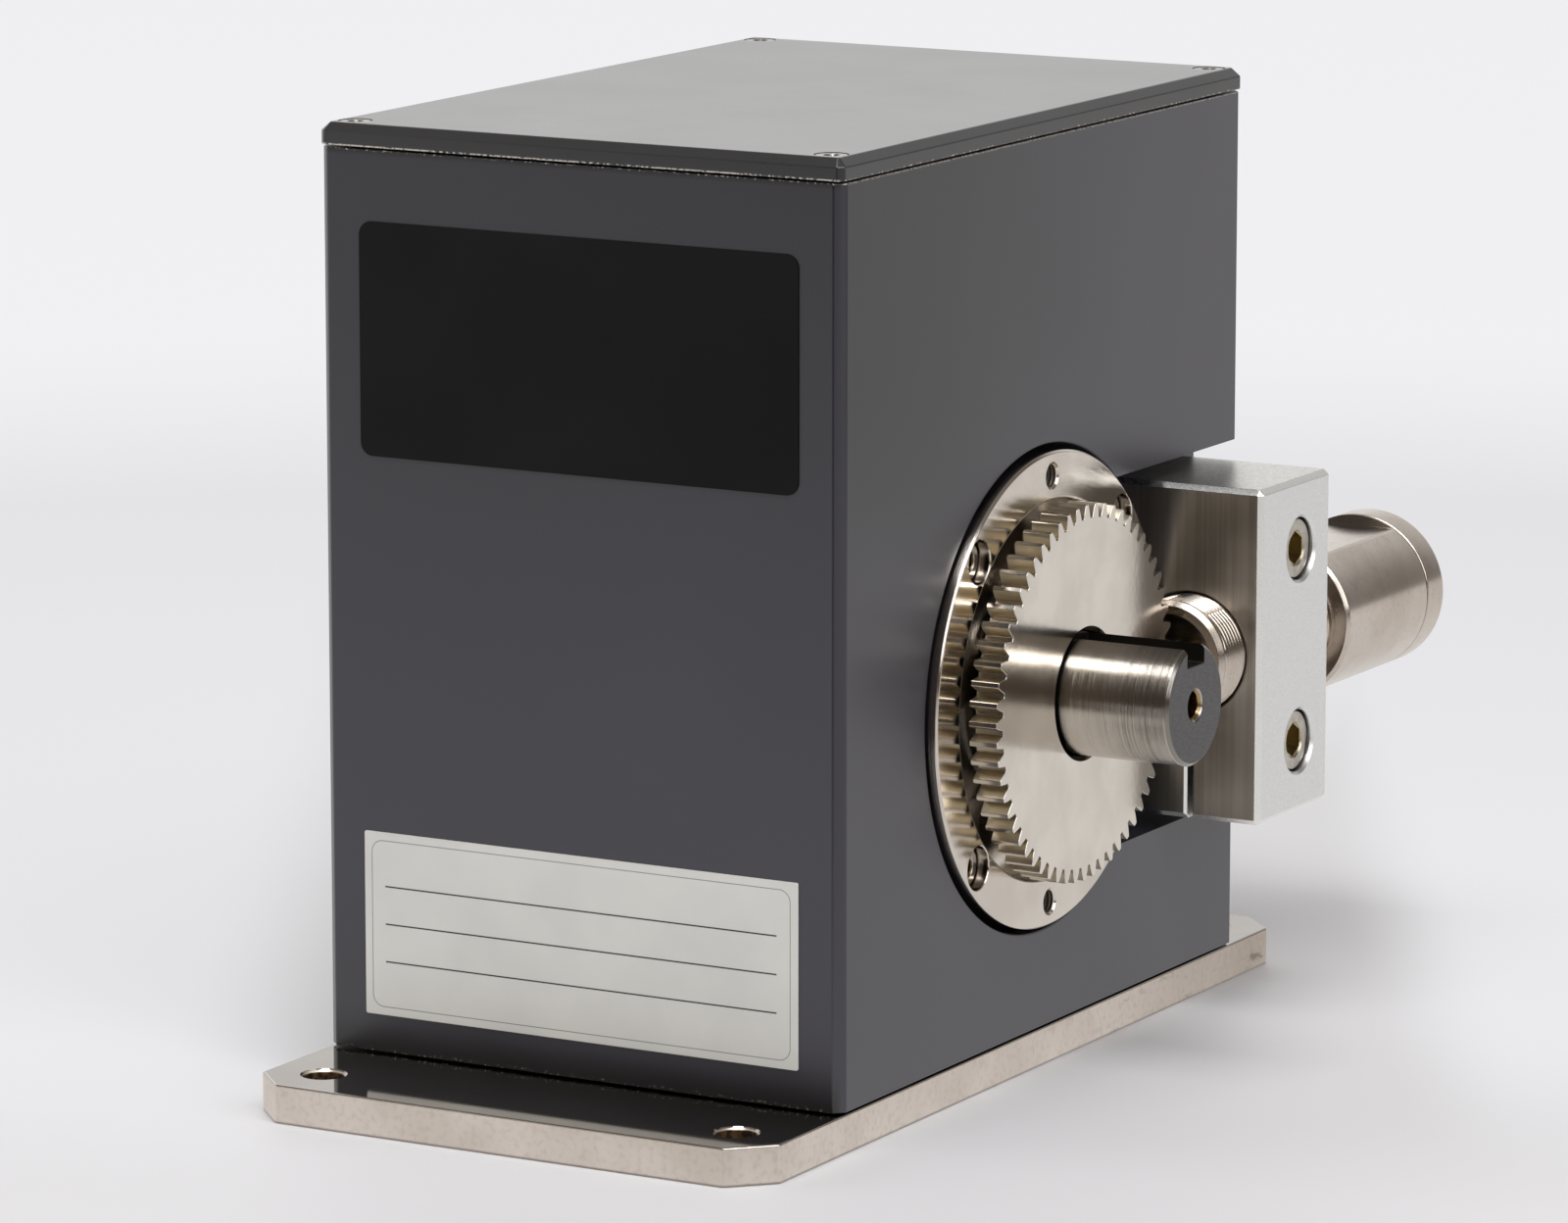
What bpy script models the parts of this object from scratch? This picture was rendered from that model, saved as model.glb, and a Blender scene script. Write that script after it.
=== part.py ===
"""Rotary torque sensor on a flanged base plate.

A box housing carries a keyed torsion shaft in two ball bearings. Two toothed
wheels inside read the twist of the shaft. A third, sixty-tooth wheel turns
outside the housing in front of a threaded pickup, which a split block clamps.

Frame: +X runs along the shaft, out of the geared end. -Y is the front face
and +Z is up. The origin lies on the underside of the base plate, below the
shaft axis and midway between the two shaft faces of the housing.
"""

import math

import bmesh
import bpy
from mathutils import Matrix, Vector

MM = 0.001

# Clearance left between neighbouring pieces
GAP = 0.3 * MM

# Base plate, measured from the shaft axis along Y
PLATE_THICKNESS = 6.3 * MM
PLATE_FRONT = 93.4 * MM
PLATE_REAR = 91.0 * MM
PLATE_CORNER = 6.5 * MM
PLATE_EDGE = 0.35 * MM
FOOT_HOLE_RADIUS = 3.3 * MM
FOOT_HOLE_CHAMFER = 0.5 * MM
FOOT_HOLE_FROM_SIDE = 9.6 * MM
FOOT_HOLE_FROM_END = 9.7 * MM

# Housing, measured from the shaft axis along Y
BODY_WIDTH = 95.2 * MM
BODY_FRONT = 67.5 * MM
BODY_REAR = 71.5 * MM
BODY_HEIGHT = 146.7 * MM
BODY_CHAMFER = 1.6 * MM
WALL = 6.0 * MM
FLOOR = 8.0 * MM
CAVITY_CORNER = 6.5 * MM
AXIS_HEIGHT = 63.0 * MM

# Top cover
COVER_THICKNESS = 3.6 * MM
COVER_CHAMFER = 1.4 * MM
COVER_CORNER = 1.0 * MM
COVER_LIP = 2.0 * MM
COVER_SCREW_INSET = 4.3 * MM

# Shaft
SHAFT_RADIUS = 10.0 * MM
SHAFT_OVERHANG = 27.65 * MM
SHAFT_CHAMFER = 0.9 * MM
KEYWAY_WIDTH = 6.0 * MM
KEYWAY_DEPTH = 3.5 * MM
REAR_KEYWAY_LENGTH = 22.0 * MM
CENTRE_HOLE_RADIUS = 2.1 * MM
CENTRE_HOLE_DEPTH = 12.0 * MM
CENTRE_CHAMFER = 0.7 * MM
SHOULDER_STEP = 3.0 * MM
SHOULDER_END = 2.0 * MM
TORSION_RADIUS = 6.0 * MM
TORSION_FILLET = 4.0 * MM

# Speed gear outside the housing
GEAR_TEETH = 60
GEAR_MODULE = 1.0 * MM
GEAR_WIDTH = 5.0 * MM
GEAR_STANDOFF = 1.4 * MM
GEAR_HUB_WALL = 6.0 * MM
GEAR_HUB_LENGTH = 5.0 * MM
GEAR_RELIEF = 1.15 * MM
GEAR_RELIEF_DEPTH = 1.6 * MM
PRESSURE_ANGLE = math.radians(20.0)
ADDENDUM = 1.0
DEDENDUM = 1.25

# Bearings
BEARING_WIDTH = 12.0 * MM
RING_WALL = 3.3 * MM
RING_EDGE = 0.6 * MM
RACE_SPACE = 4.1 * MM
BALL_RADIUS = 2.9 * MM
BALL_COUNT = 8
GROOVE_SHARE = 0.62
CAGE_THICKNESS = 2.6 * MM
CAGE_WIDTH = 6.0 * MM

# Bearing flanges
DISC_PROUD = 1.5 * MM
DISC_THICKNESS = 9.8 * MM
DISC_CHAMFER = 0.6 * MM
DISC_BORE_CHAMFER = 0.25 * MM
DISC_RING = 8.0 * MM
GEAR_CLEARANCE = 0.2 * MM
BARREL_RELIEF = 0.7 * MM
DISC_CLEARANCE = 1.0 * MM
FLANGE_RECESS = 5.6 * MM
FLANGE_LIP = 2.5 * MM
LIP_CLEARANCE = 1.0 * MM
SPIGOT_WALL = 4.7 * MM
SPIGOT_END = 0.6 * MM
BOSS_THICKNESS = 7.6 * MM
BOSS_WALL = 3.8 * MM
JACK_HOLE_RADIUS = 1.9 * MM
JACK_HOLE_CHAMFER = 0.4 * MM
SPACER_WALL = 2.2 * MM

# Lock nut on the plain end of the shaft
NUT_WALL = 6.0 * MM
NUT_WIDTH = 4.0 * MM
NUT_SLOT_WIDTH = 4.0 * MM
NUT_SLOT_DEPTH = 2.0 * MM
NUT_SLOTS = 4

# Toothed wheels that read the twist. The shares are half widths of a tooth in its pitch
TWIST_GEAR_TEETH = 20
TWIST_GEAR_RADIUS = 26.0 * MM
TWIST_TOOTH_DEPTH = 2.5 * MM
TWIST_GEAR_WIDTH = 6.0 * MM
TWIST_GEAR_SPACING = 2.5 * MM
TWIST_FOOT_SHARE = 0.25
TWIST_TIP_SHARE = 0.2

# Pocket and split block on the geared side. The share is of the wall above the barrel
POCKET_FLOOR = 6.0 * MM
POCKET_CLEARANCE = 2.8 * MM
POCKET_INSIDE = 2.0 * MM
BLOCK_REACH = 19.9 * MM
BLOCK_DEPTH = 26.3 * MM
BLOCK_HEIGHT = 56.6 * MM
BLOCK_CHAMFER = 0.9 * MM
BLOCK_TO_DISC = 0.5 * MM
SLIT_WIDTH = 1.0 * MM
CLAMP_SCREW_SHARE = 0.336
CLAMP_SCREW_FROM_FRONT = 15.1 * MM
CLAMP_HEAD_SUNK = 0.9 * MM
CLAMP_MOUTH_CHAMFER = 0.5 * MM

# Threaded pickup
PICKUP_SETBACK = 1.0 * MM
PICKUP_AIR_GAP = 0.8 * MM
BARREL_RADIUS = 10.0 * MM
TIP_CHAMFER = 0.8 * MM
TIP_RIM = 2.2 * MM
TIP_RECESS = 4.5 * MM
POLE_RADIUS = 2.2 * MM
POLE_SUNK = 0.6 * MM
SHELL_STANDOFF = 6.9 * MM
SHELL_RADIUS = 13.5 * MM
SHELL_LENGTH = 31.6 * MM
SHELL_CHAMFER = 0.6 * MM
SHELL_FLAT = 1.9 * MM
CAP_LENGTH = 7.3 * MM
CAP_CHAMFER = 1.2 * MM
CAP_WALL = 4.6 * MM
INSERT_THICKNESS = 1.6 * MM
PIN_RADIUS = 0.8 * MM
PIN_LENGTH = 1.6 * MM
PIN_COUNT = 4
PIN_CIRCLE = 4.2 * MM

# Twist pickups, their bracket and its ledges. A share is of the room over the bosses
LEDGE_DEPTH = 6.0 * MM
LEDGE_RISE_SHARE = 0.108
LEDGE_THICKNESS = 10.0 * MM
LEDGE_HALF = 12.0 * MM
BRACKET_SHARE = 0.1296
BRACKET_HALF = 9.0 * MM
INNER_BODY_RADIUS = 6.0 * MM
INNER_TIP_RADIUS = 2.5 * MM
INNER_TIP_LENGTH = 3.0 * MM
INNER_COLLAR_RADIUS = 8.0 * MM
INNER_COLLAR_SHARE = 0.0648
INNER_TAIL_SHARE = 0.0648

# Circuit board and its lugs
BOARD_BELOW_TOP_SHARE = 0.4104
BOARD_THICKNESS = 1.6 * MM
BOARD_HALF = 53.0 * MM
LUG_SHARE = 0.1728
LUG_HALF = 5.0 * MM
LUG_PLACE = 47.0 * MM
LEDGE_SCREW_INSET = 3.0 * MM
CHIP_SINK = 0.4 * MM

# Board components: two corners in millimetres, and the height as a share of the room
BOARD_CHIPS = (
    ((-14.0, -12.0), (14.0, 6.0), 0.043),
    ((-30.0, 18.0), (-18.0, 40.0), 0.065),
    ((12.0, 20.0), (28.0, 34.0), 0.043),
    ((-26.0, -40.0), (-6.0, -30.0), 0.13),
    ((10.0, -42.0), (18.0, -34.0), 0.173),
)

# Signal connector in the rear wall
CONNECTOR_X = -14.0 * MM
CONNECTOR_BELOW_TOP = 35.3 * MM
CONNECTOR_RADIUS = 9.5 * MM
CONNECTOR_WALL = 1.6 * MM
CONNECTOR_FLANGE = 3.5 * MM
CONNECTOR_FLANGE_THICKNESS = 2.5 * MM
CONNECTOR_LENGTH = 13.0 * MM
CONNECTOR_TAIL = 5.0 * MM
CONNECTOR_NUT_WALL = 3.0 * MM
CONNECTOR_NUT_HEIGHT = 3.0 * MM
CONNECTOR_PINS = 6
CONNECTOR_PIN_LENGTH = 4.0 * MM

# Fasteners: head radius and height, shank radius and length, socket across flats and socket depth
FLANGE_SCREW = (3.3 * MM, 4.0 * MM, 2.0 * MM, 8.5 * MM, 3.0 * MM, 2.2 * MM)
CLAMP_SCREW = (5.0 * MM, 6.0 * MM, 3.0 * MM, 25.0 * MM, 5.0 * MM, 3.2 * MM)
COVER_SCREW = (2.6 * MM, 1.5 * MM, 1.5 * MM, 9.0 * MM, 2.0 * MM, 1.1 * MM)
BASE_SCREW = (4.6 * MM, 2.5 * MM, 2.5 * MM, 9.5 * MM, 3.0 * MM, 1.6 * MM)
BOARD_SCREW = (2.5 * MM, 1.8 * MM, 1.25 * MM, 6.0 * MM, 1.5 * MM, 1.0 * MM)
GRUB_RADIUS = 2.0 * MM
GRUB_SOCKET = 2.0 * MM
GRUB_SOCKET_DEPTH = 1.5 * MM
HEAD_SUNK = 2.0 * MM
FLUSH_SUNK = 0.1 * MM
HEAD_EDGE = 0.25 * MM
SINK_MOUTH_GAP = 0.15 * MM
TIP_ROOM = 0.6 * MM
BASE_SCREW_FROM_SIDE = 11.6 * MM
BASE_SCREW_FROM_WALL = 13.0 * MM

# Facets round a full turn
FINE_SIDES = 32
ROUND_SIDES = 24
SMALL_SIDES = 16
HEAD_SIDES = 12
FEW_SIDES = 8
SPHERE_RINGS = 4
SPHERE_SIDES = 6
SHARP_ANGLE = math.radians(32.0)
FLAT_ANGLE = math.radians(0.2)
WELD = 0.002 * MM
OVERCUT = 2.0 * MM

# Places that follow from the sizes above
HALF_WIDTH = BODY_WIDTH / 2
BODY_BOTTOM = PLATE_THICKNESS + GAP
BODY_TOP = BODY_BOTTOM + BODY_HEIGHT
INNER_HALF = HALF_WIDTH - WALL
COVER_BOTTOM = BODY_TOP + GAP
COVER_TOP = COVER_BOTTOM + COVER_THICKNESS

SHAFT_END = HALF_WIDTH + SHAFT_OVERHANG
DISC_FACE = HALF_WIDTH + DISC_PROUD
DISC_BACK = DISC_FACE - DISC_THICKNESS
SEAT_FACE = DISC_BACK - GAP
BOSS_END = SEAT_FACE - BOSS_THICKNESS
FLANGE_FLOOR = DISC_FACE - FLANGE_RECESS
LIP_FACE = FLANGE_FLOOR - FLANGE_LIP
BEARING_OUT = LIP_FACE - GAP
BEARING_IN = BEARING_OUT - BEARING_WIDTH
SPIGOT_IN = BEARING_IN - SPIGOT_END
SHOULDER = BEARING_IN - GAP
TWIST_GEAR_OUT = SPIGOT_IN - TWIST_GEAR_SPACING
TWIST_GEAR_IN = TWIST_GEAR_OUT - TWIST_GEAR_WIDTH
SHOULDER_IN = TWIST_GEAR_IN - SHOULDER_END
TWIST_GEAR_MIDDLE = (TWIST_GEAR_IN + TWIST_GEAR_OUT) / 2
GEAR_BACK = DISC_FACE + GEAR_STANDOFF
GEAR_FRONT = GEAR_BACK + GEAR_WIDTH
HUB_BACK = GEAR_BACK - GEAR_HUB_LENGTH
SPACER_IN = BEARING_OUT + GAP
SPACER_OUT = HUB_BACK - GAP
NUT_IN = SPACER_OUT + GAP
KEYWAY_START = GEAR_FRONT - GEAR_RELIEF_DEPTH + GAP

GEAR_TIP_RADIUS = GEAR_MODULE * (GEAR_TEETH / 2 + ADDENDUM)
INNER_RING_BORE = SHAFT_RADIUS + GAP
INNER_RING_OUT = INNER_RING_BORE + RING_WALL
OUTER_RING_BORE = INNER_RING_OUT + RACE_SPACE
OUTER_RING_OUT = OUTER_RING_BORE + RING_WALL
BALL_CIRCLE = (INNER_RING_OUT + OUTER_RING_BORE) / 2
SEAT_RADIUS = OUTER_RING_OUT + GAP
SPIGOT_RADIUS = SEAT_RADIUS + SPIGOT_WALL
SPACER_RADIUS = SHAFT_RADIUS + GAP + SPACER_WALL
LIP_RADIUS = SPACER_RADIUS + LIP_CLEARANCE
RECESS_RADIUS = GEAR_TIP_RADIUS + GEAR_CLEARANCE
DISC_RADIUS = RECESS_RADIUS + DISC_RING
SCREW_CIRCLE = RECESS_RADIUS + DISC_RING / 2
DISC_POCKET_RADIUS = DISC_RADIUS + DISC_CLEARANCE
BOSS_RADIUS = DISC_POCKET_RADIUS + BOSS_WALL
HUB_RADIUS = SHAFT_RADIUS + GEAR_HUB_WALL
SHOULDER_RADIUS = SHAFT_RADIUS + SHOULDER_STEP

POCKET_HALF = BLOCK_HEIGHT / 2 + POCKET_CLEARANCE
POCKET_Y = math.sqrt(DISC_POCKET_RADIUS**2 - POCKET_HALF**2) - POCKET_INSIDE
BLOCK_IN = SEAT_FACE + GAP
BLOCK_OUT = HALF_WIDTH + BLOCK_REACH
BLOCK_FRONT = DISC_RADIUS + BLOCK_TO_DISC
BLOCK_REAR = BLOCK_FRONT + BLOCK_DEPTH
CLAMP_SCREW_Y = BLOCK_FRONT + CLAMP_SCREW_FROM_FRONT

PICKUP_X = GEAR_FRONT - PICKUP_SETBACK
PICKUP_TIP = GEAR_TIP_RADIUS + PICKUP_AIR_GAP
SHELL_FRONT = BLOCK_REAR + SHELL_STANDOFF
SHELL_REAR = SHELL_FRONT + SHELL_LENGTH
CAP_FRONT = SHELL_REAR + GAP
CAP_REAR = CAP_FRONT + CAP_LENGTH
CAP_BORE = SHELL_RADIUS - CAP_WALL

ROOM_ABOVE = BODY_TOP - AXIS_HEIGHT - BOSS_RADIUS
LEDGE_TOP = AXIS_HEIGHT + BOSS_RADIUS + LEDGE_RISE_SHARE * ROOM_ABOVE
BRACKET_BOTTOM = LEDGE_TOP + GAP
BRACKET_TOP = BRACKET_BOTTOM + BRACKET_SHARE * ROOM_ABOVE
INNER_SEAT = BRACKET_TOP + GAP
INNER_COLLAR_TOP = INNER_SEAT + INNER_COLLAR_SHARE * ROOM_ABOVE
INNER_TOP = INNER_COLLAR_TOP + INNER_TAIL_SHARE * ROOM_ABOVE
INNER_TIP = AXIS_HEIGHT + TWIST_GEAR_RADIUS + PICKUP_AIR_GAP
BOARD_BOTTOM = BODY_TOP - BOARD_BELOW_TOP_SHARE * ROOM_ABOVE
LUG_TOP = BOARD_BOTTOM - GAP
LUG_BOTTOM = LUG_TOP - LUG_SHARE * ROOM_ABOVE
LEDGE_SCREW_X = INNER_HALF - LEDGE_SCREW_INSET
CONNECTOR_Z = BODY_TOP - CONNECTOR_BELOW_TOP

# Turns that lay a local Z axis along each world axis
ALONG = {
    "+X": Matrix.Rotation(math.pi / 2, 4, "Y"),
    "-X": Matrix.Rotation(-math.pi / 2, 4, "Y"),
    "+Y": Matrix.Rotation(-math.pi / 2, 4, "X"),
    "+Z": Matrix.Identity(4),
    "-Z": Matrix.Rotation(math.pi, 4, "X"),
}
SHAFT_AXIS = Matrix.Translation((0.0, 0.0, AXIS_HEIGHT)) @ ALONG["+X"]
PICKUP_AXIS = Matrix.Translation((PICKUP_X, 0.0, AXIS_HEIGHT)) @ ALONG["+Y"]


def clear_scene():
    """Remove every object that the file opens with."""
    for leftover in list(bpy.data.objects):
        bpy.data.objects.remove(leftover)


def new_collection(name):
    """Add a named collection to the scene."""
    group = bpy.data.collections.new(name)
    bpy.context.scene.collection.children.link(group)
    return group


clear_scene()
PARTS = new_collection("rotary_torque_sensor")
CUTTERS = new_collection("cutters")


def finish(name, colour, roughness, metallic):
    """Make one Principled material."""
    material = bpy.data.materials.new(name)
    material.use_nodes = True
    shader = material.node_tree.nodes["Principled BSDF"]
    shader.inputs["Base Color"].default_value = (*colour, 1.0)
    shader.inputs["Roughness"].default_value = roughness
    shader.inputs["Metallic"].default_value = metallic
    return material


def add_object(name, mesh, material, group=None):
    """Link a mesh as a named object with its own material."""
    thing = bpy.data.objects.new(name, mesh)
    mesh.materials.clear()
    mesh.materials.append(material)
    (group or PARTS).objects.link(thing)
    return thing


def mesh_of(bm, name):
    """Turn a bmesh into a mesh and free it."""
    mesh = bpy.data.meshes.new(name)
    bm.to_mesh(mesh)
    bm.free()
    return mesh


def evaluated_mesh(thing):
    """Read an object's mesh with its modifiers or its curve shape."""
    bpy.context.view_layer.update()
    depsgraph = bpy.context.evaluated_depsgraph_get()
    return bpy.data.meshes.new_from_object(thing.evaluated_get(depsgraph))


def weld(mesh, turn_outwards=False):
    """Merge coincident points and flat neighbours, and turn the faces outwards where asked."""
    bm = bmesh.new()
    bm.from_mesh(mesh)
    bmesh.ops.remove_doubles(bm, verts=bm.verts, dist=WELD)
    bmesh.ops.dissolve_degenerate(bm, edges=bm.edges, dist=WELD)
    bmesh.ops.dissolve_limit(bm, angle_limit=FLAT_ANGLE, verts=bm.verts, edges=bm.edges)
    if turn_outwards:
        bmesh.ops.recalc_face_normals(bm, faces=bm.faces)
    bm.to_mesh(mesh)
    bm.free()


def settle(thing):
    """Give an object its finished mesh, welded and shaded by angle."""
    mesh = evaluated_mesh(thing)
    mesh.name = thing.name
    thing.modifiers.clear()
    thing.data = mesh
    weld(mesh)
    mesh.shade_smooth()
    mesh.set_sharp_from_angle(angle=SHARP_ANGLE)
    return thing


def combine(thing, mesh, operation):
    """Cut an object with a placed mesh, or join the mesh to it."""
    tool = bpy.data.objects.new(thing.name + "_" + operation.lower(), mesh)
    CUTTERS.objects.link(tool)
    tool.hide_render = True
    tool.display_type = "WIRE"
    step = thing.modifiers.new(tool.name, "BOOLEAN")
    step.operation = operation
    step.solver = "EXACT"
    step.object = tool


def add_box(bm, low, high):
    """Add a box between two corners."""
    low, high = Vector(low), Vector(high)
    place = Matrix.Translation((low + high) / 2) @ Matrix.Diagonal((*(high - low), 1.0))
    bmesh.ops.create_cube(bm, size=1.0, matrix=place)


def add_rod(bm, place, start, end, radius, sides=SMALL_SIDES, end_radius=None):
    """Add a cylinder or cone between two stations on an axis."""
    far = radius if end_radius is None else end_radius
    middle = place @ Matrix.Translation((0.0, 0.0, (start + end) / 2))
    bmesh.ops.create_cone(
        bm, cap_ends=True, segments=sides, radius1=radius, radius2=far, depth=end - start, matrix=middle
    )


def box_mesh(name, low, high):
    """Make a mesh of one box."""
    bm = bmesh.new()
    add_box(bm, low, high)
    return mesh_of(bm, name)


def rod_mesh(name, place, start, end, radius, sides=SMALL_SIDES):
    """Make a mesh of one cylinder."""
    bm = bmesh.new()
    add_rod(bm, place, start, end, radius, sides)
    return mesh_of(bm, name)


def flat_mesh(name, outline, low, high):
    """Extrude a flat outline between two heights along local Z."""
    curve = bpy.data.curves.new(name, "CURVE")
    curve.dimensions = "2D"
    curve.fill_mode = "BOTH"
    curve.extrude = (high - low) / 2
    spline = curve.splines.new("POLY")
    spline.points.add(len(outline) - 1)
    for point, (x, y) in zip(spline.points, outline):
        point.co = (x, y, 0.0, 1.0)
    spline.use_cyclic_u = True
    guide = bpy.data.objects.new(name, curve)
    CUTTERS.objects.link(guide)
    mesh = evaluated_mesh(guide)
    bpy.data.objects.remove(guide)
    mesh.transform(Matrix.Translation((0.0, 0.0, (low + high) / 2)))
    weld(mesh, turn_outwards=True)
    return mesh


def cut_corners(low, high, cut):
    """Outline of a rectangle with its four corners cut at 45 degrees."""
    (x0, y0), (x1, y1) = low, high
    return [
        (x0 + cut, y0),
        (x1 - cut, y0),
        (x1, y0 + cut),
        (x1, y1 - cut),
        (x1 - cut, y1),
        (x0 + cut, y1),
        (x0, y1 - cut),
        (x0, y0 + cut),
    ]


def bevel_where(mesh, width, chosen):
    """Chamfer the edges that a test picks."""
    bm = bmesh.new()
    bm.from_mesh(mesh)
    edges = [edge for edge in bm.edges if chosen(edge)]
    bmesh.ops.bevel(bm, geom=edges, offset=width, segments=1, affect="EDGES", clamp_overlap=True)
    bm.to_mesh(mesh)
    bm.free()


def turned_mesh(name, profile, sides, closed=False):
    """Turn a profile of (radius, station) about local Z with a Screw modifier."""
    bm = bmesh.new()
    points = [bm.verts.new((radius, 0.0, station)) for radius, station in profile]
    for first, second in zip(points, points[1:]):
        bm.edges.new((first, second))
    if closed:
        bm.edges.new((points[-1], points[0]))
    guide = bpy.data.objects.new(name, mesh_of(bm, name))
    CUTTERS.objects.link(guide)
    screw = guide.modifiers.new("turn", "SCREW")
    screw.axis = "Z"
    screw.steps = sides
    screw.render_steps = sides
    screw.use_merge_vertices = True
    screw.merge_threshold = WELD
    mesh = evaluated_mesh(guide)
    bpy.data.objects.remove(guide)
    weld(mesh)
    return mesh


def turned(name, profile, sides, place, material, closed=False):
    """Make a turned piece whose origin lies on its own axis."""
    thing = add_object(name, turned_mesh(name, profile, sides, closed), material)
    thing.matrix_world = place
    return thing


def collar(inner, outer, low, high, edge=0.0):
    """Closed profile of a plain ring, its outer corners chamfered."""
    if edge == 0.0:
        return [(outer, high), (outer, low), (inner, low), (inner, high)]
    return [
        (outer - edge, high),
        (outer, high - edge),
        (outer, low + edge),
        (outer - edge, low),
        (inner, low),
        (inner, high),
    ]


def on_circle(radius, count, first_angle=0.0):
    """Points spread evenly round a circle, in the plane across an axis."""
    step = 2 * math.pi / count
    angles = [first_angle + step * index for index in range(count)]
    return [(radius * math.cos(angle), radius * math.sin(angle)) for angle in angles]


def shifted(place, offset):
    """Move an axis sideways by a point of a circle."""
    return place @ Matrix.Translation((offset[0], offset[1], 0.0))


def mirrored(profile):
    """Complete a half profile with its mirror image across station zero."""
    return profile + [(radius, -station) for radius, station in reversed(profile)]


# Fasteners


def socket_screw_mesh(name, sizes, sides, countersunk=False):
    """A socket screw with the top of its head at station zero, pointing down."""
    head, height, shank, length, flats, depth = sizes
    if countersunk:
        rim = [(head, 0.0), (head, -HEAD_EDGE), (shank, -height)]
    elif sides > FEW_SIDES:
        rim = [(head - HEAD_EDGE, 0.0), (head, -HEAD_EDGE), (head, -height), (shank, -height)]
    else:
        rim = [(head, 0.0), (head, -height), (shank, -height)]
    end = -height - length
    profile = [(0.0, 0.0), *rim, (shank, end), (0.0, end)]
    blank = add_object(name, turned_mesh(name, profile, sides), STEEL, CUTTERS)
    corner = flats / 2 / math.cos(math.pi / 6)
    combine(blank, rod_mesh(name, ALONG["+Z"], -depth, OVERCUT, corner, 6), "DIFFERENCE")
    settle(blank)
    mesh = blank.data
    bpy.data.objects.remove(blank)
    return mesh


def place_screws(stem, mesh, places):
    """Link one object for each place, all with the same mesh."""
    for number, place in enumerate(places, 1):
        screw = bpy.data.objects.new(f"{stem}_{number}", mesh)
        screw.matrix_world = place
        PARTS.objects.link(screw)


def screw_holes(bm, sizes, places, top, extra_length=TIP_ROOM):
    """Add the clearance holes for screws whose heads start at the given places."""
    _, height, shank, length, _, _ = sizes
    for place in places:
        add_rod(bm, place, -height - length - extra_length, top, shank + GAP, FEW_SIDES)


def countersink(thing, sizes, places, thickness):
    """Cut through holes with a conical seat for each countersunk head."""
    head, height, shank, _, _, _ = sizes
    hole = shank + GAP
    mouth = head + SINK_MOUTH_GAP
    slope = (head - shank) / (height - HEAD_EDGE)
    rim = (mouth - hole) / slope - height
    end = -thickness - OVERCUT
    profile = [(0.0, OVERCUT), (mouth, OVERCUT), (mouth, rim), (hole, -height), (hole, end), (0.0, end)]
    sinks = bmesh.new()
    for place in places:
        sink = turned_mesh("countersink", profile, HEAD_SIDES)
        sink.transform(place)
        sinks.from_mesh(sink)
        bpy.data.meshes.remove(sink)
    combine(thing, mesh_of(sinks, thing.name + "_countersinks"), "DIFFERENCE")


STEEL = finish("bright_screw_steel", (0.62, 0.60, 0.56), 0.28, 1.0)
PLATE_FINISH = finish("nickel_plate", (0.56, 0.52, 0.47), 0.30, 1.0)
HOUSING_FINISH = finish("dark_grey_paint", (0.068, 0.069, 0.076), 0.45, 0.0)
COVER_FINISH = finish("dark_grey_cover_paint", (0.075, 0.076, 0.083), 0.42, 0.0)
FLANGE_FINISH = finish("polished_nickel", (0.64, 0.61, 0.56), 0.15, 1.0)
GEAR_FINISH = finish("satin_nickel", (0.66, 0.63, 0.58), 0.33, 1.0)
SHAFT_FINISH = finish("ground_steel", (0.58, 0.56, 0.53), 0.25, 1.0)
BEARING_FINISH = finish("bearing_steel", (0.60, 0.60, 0.60), 0.20, 1.0)
CAGE_FINISH = finish("pressed_cage", (0.52, 0.47, 0.38), 0.35, 1.0)
BLOCK_FINISH = finish("milled_aluminium", (0.72, 0.73, 0.74), 0.35, 1.0)
PICKUP_FINISH = finish("warm_stainless", (0.50, 0.46, 0.42), 0.32, 1.0)
POLE_FINISH = finish("brass_pole", (0.60, 0.44, 0.20), 0.30, 1.0)
INSERT_FINISH = finish("black_insert", (0.015, 0.015, 0.016), 0.50, 0.0)
BOARD_FINISH = finish("green_board", (0.02, 0.12, 0.05), 0.40, 0.0)


# Base plate


def foot_places():
    """Centres of the four mounting holes."""
    half = HALF_WIDTH - FOOT_HOLE_FROM_SIDE
    rows = (FOOT_HOLE_FROM_END - PLATE_FRONT, PLATE_REAR - FOOT_HOLE_FROM_END)
    return [(x, y) for y in rows for x in (-half, half)]


def base_screw_places():
    """Screws that come up from below the plate into the housing floor."""
    rows = (BASE_SCREW_FROM_WALL - BODY_FRONT, BODY_REAR - BASE_SCREW_FROM_WALL)
    half = HALF_WIDTH - BASE_SCREW_FROM_SIDE
    sites = [(x, y) for y in rows for x in (-half, half)]
    return [Matrix.Translation((x, y, FLUSH_SUNK + GAP)) @ ALONG["-Z"] for x, y in sites]


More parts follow.
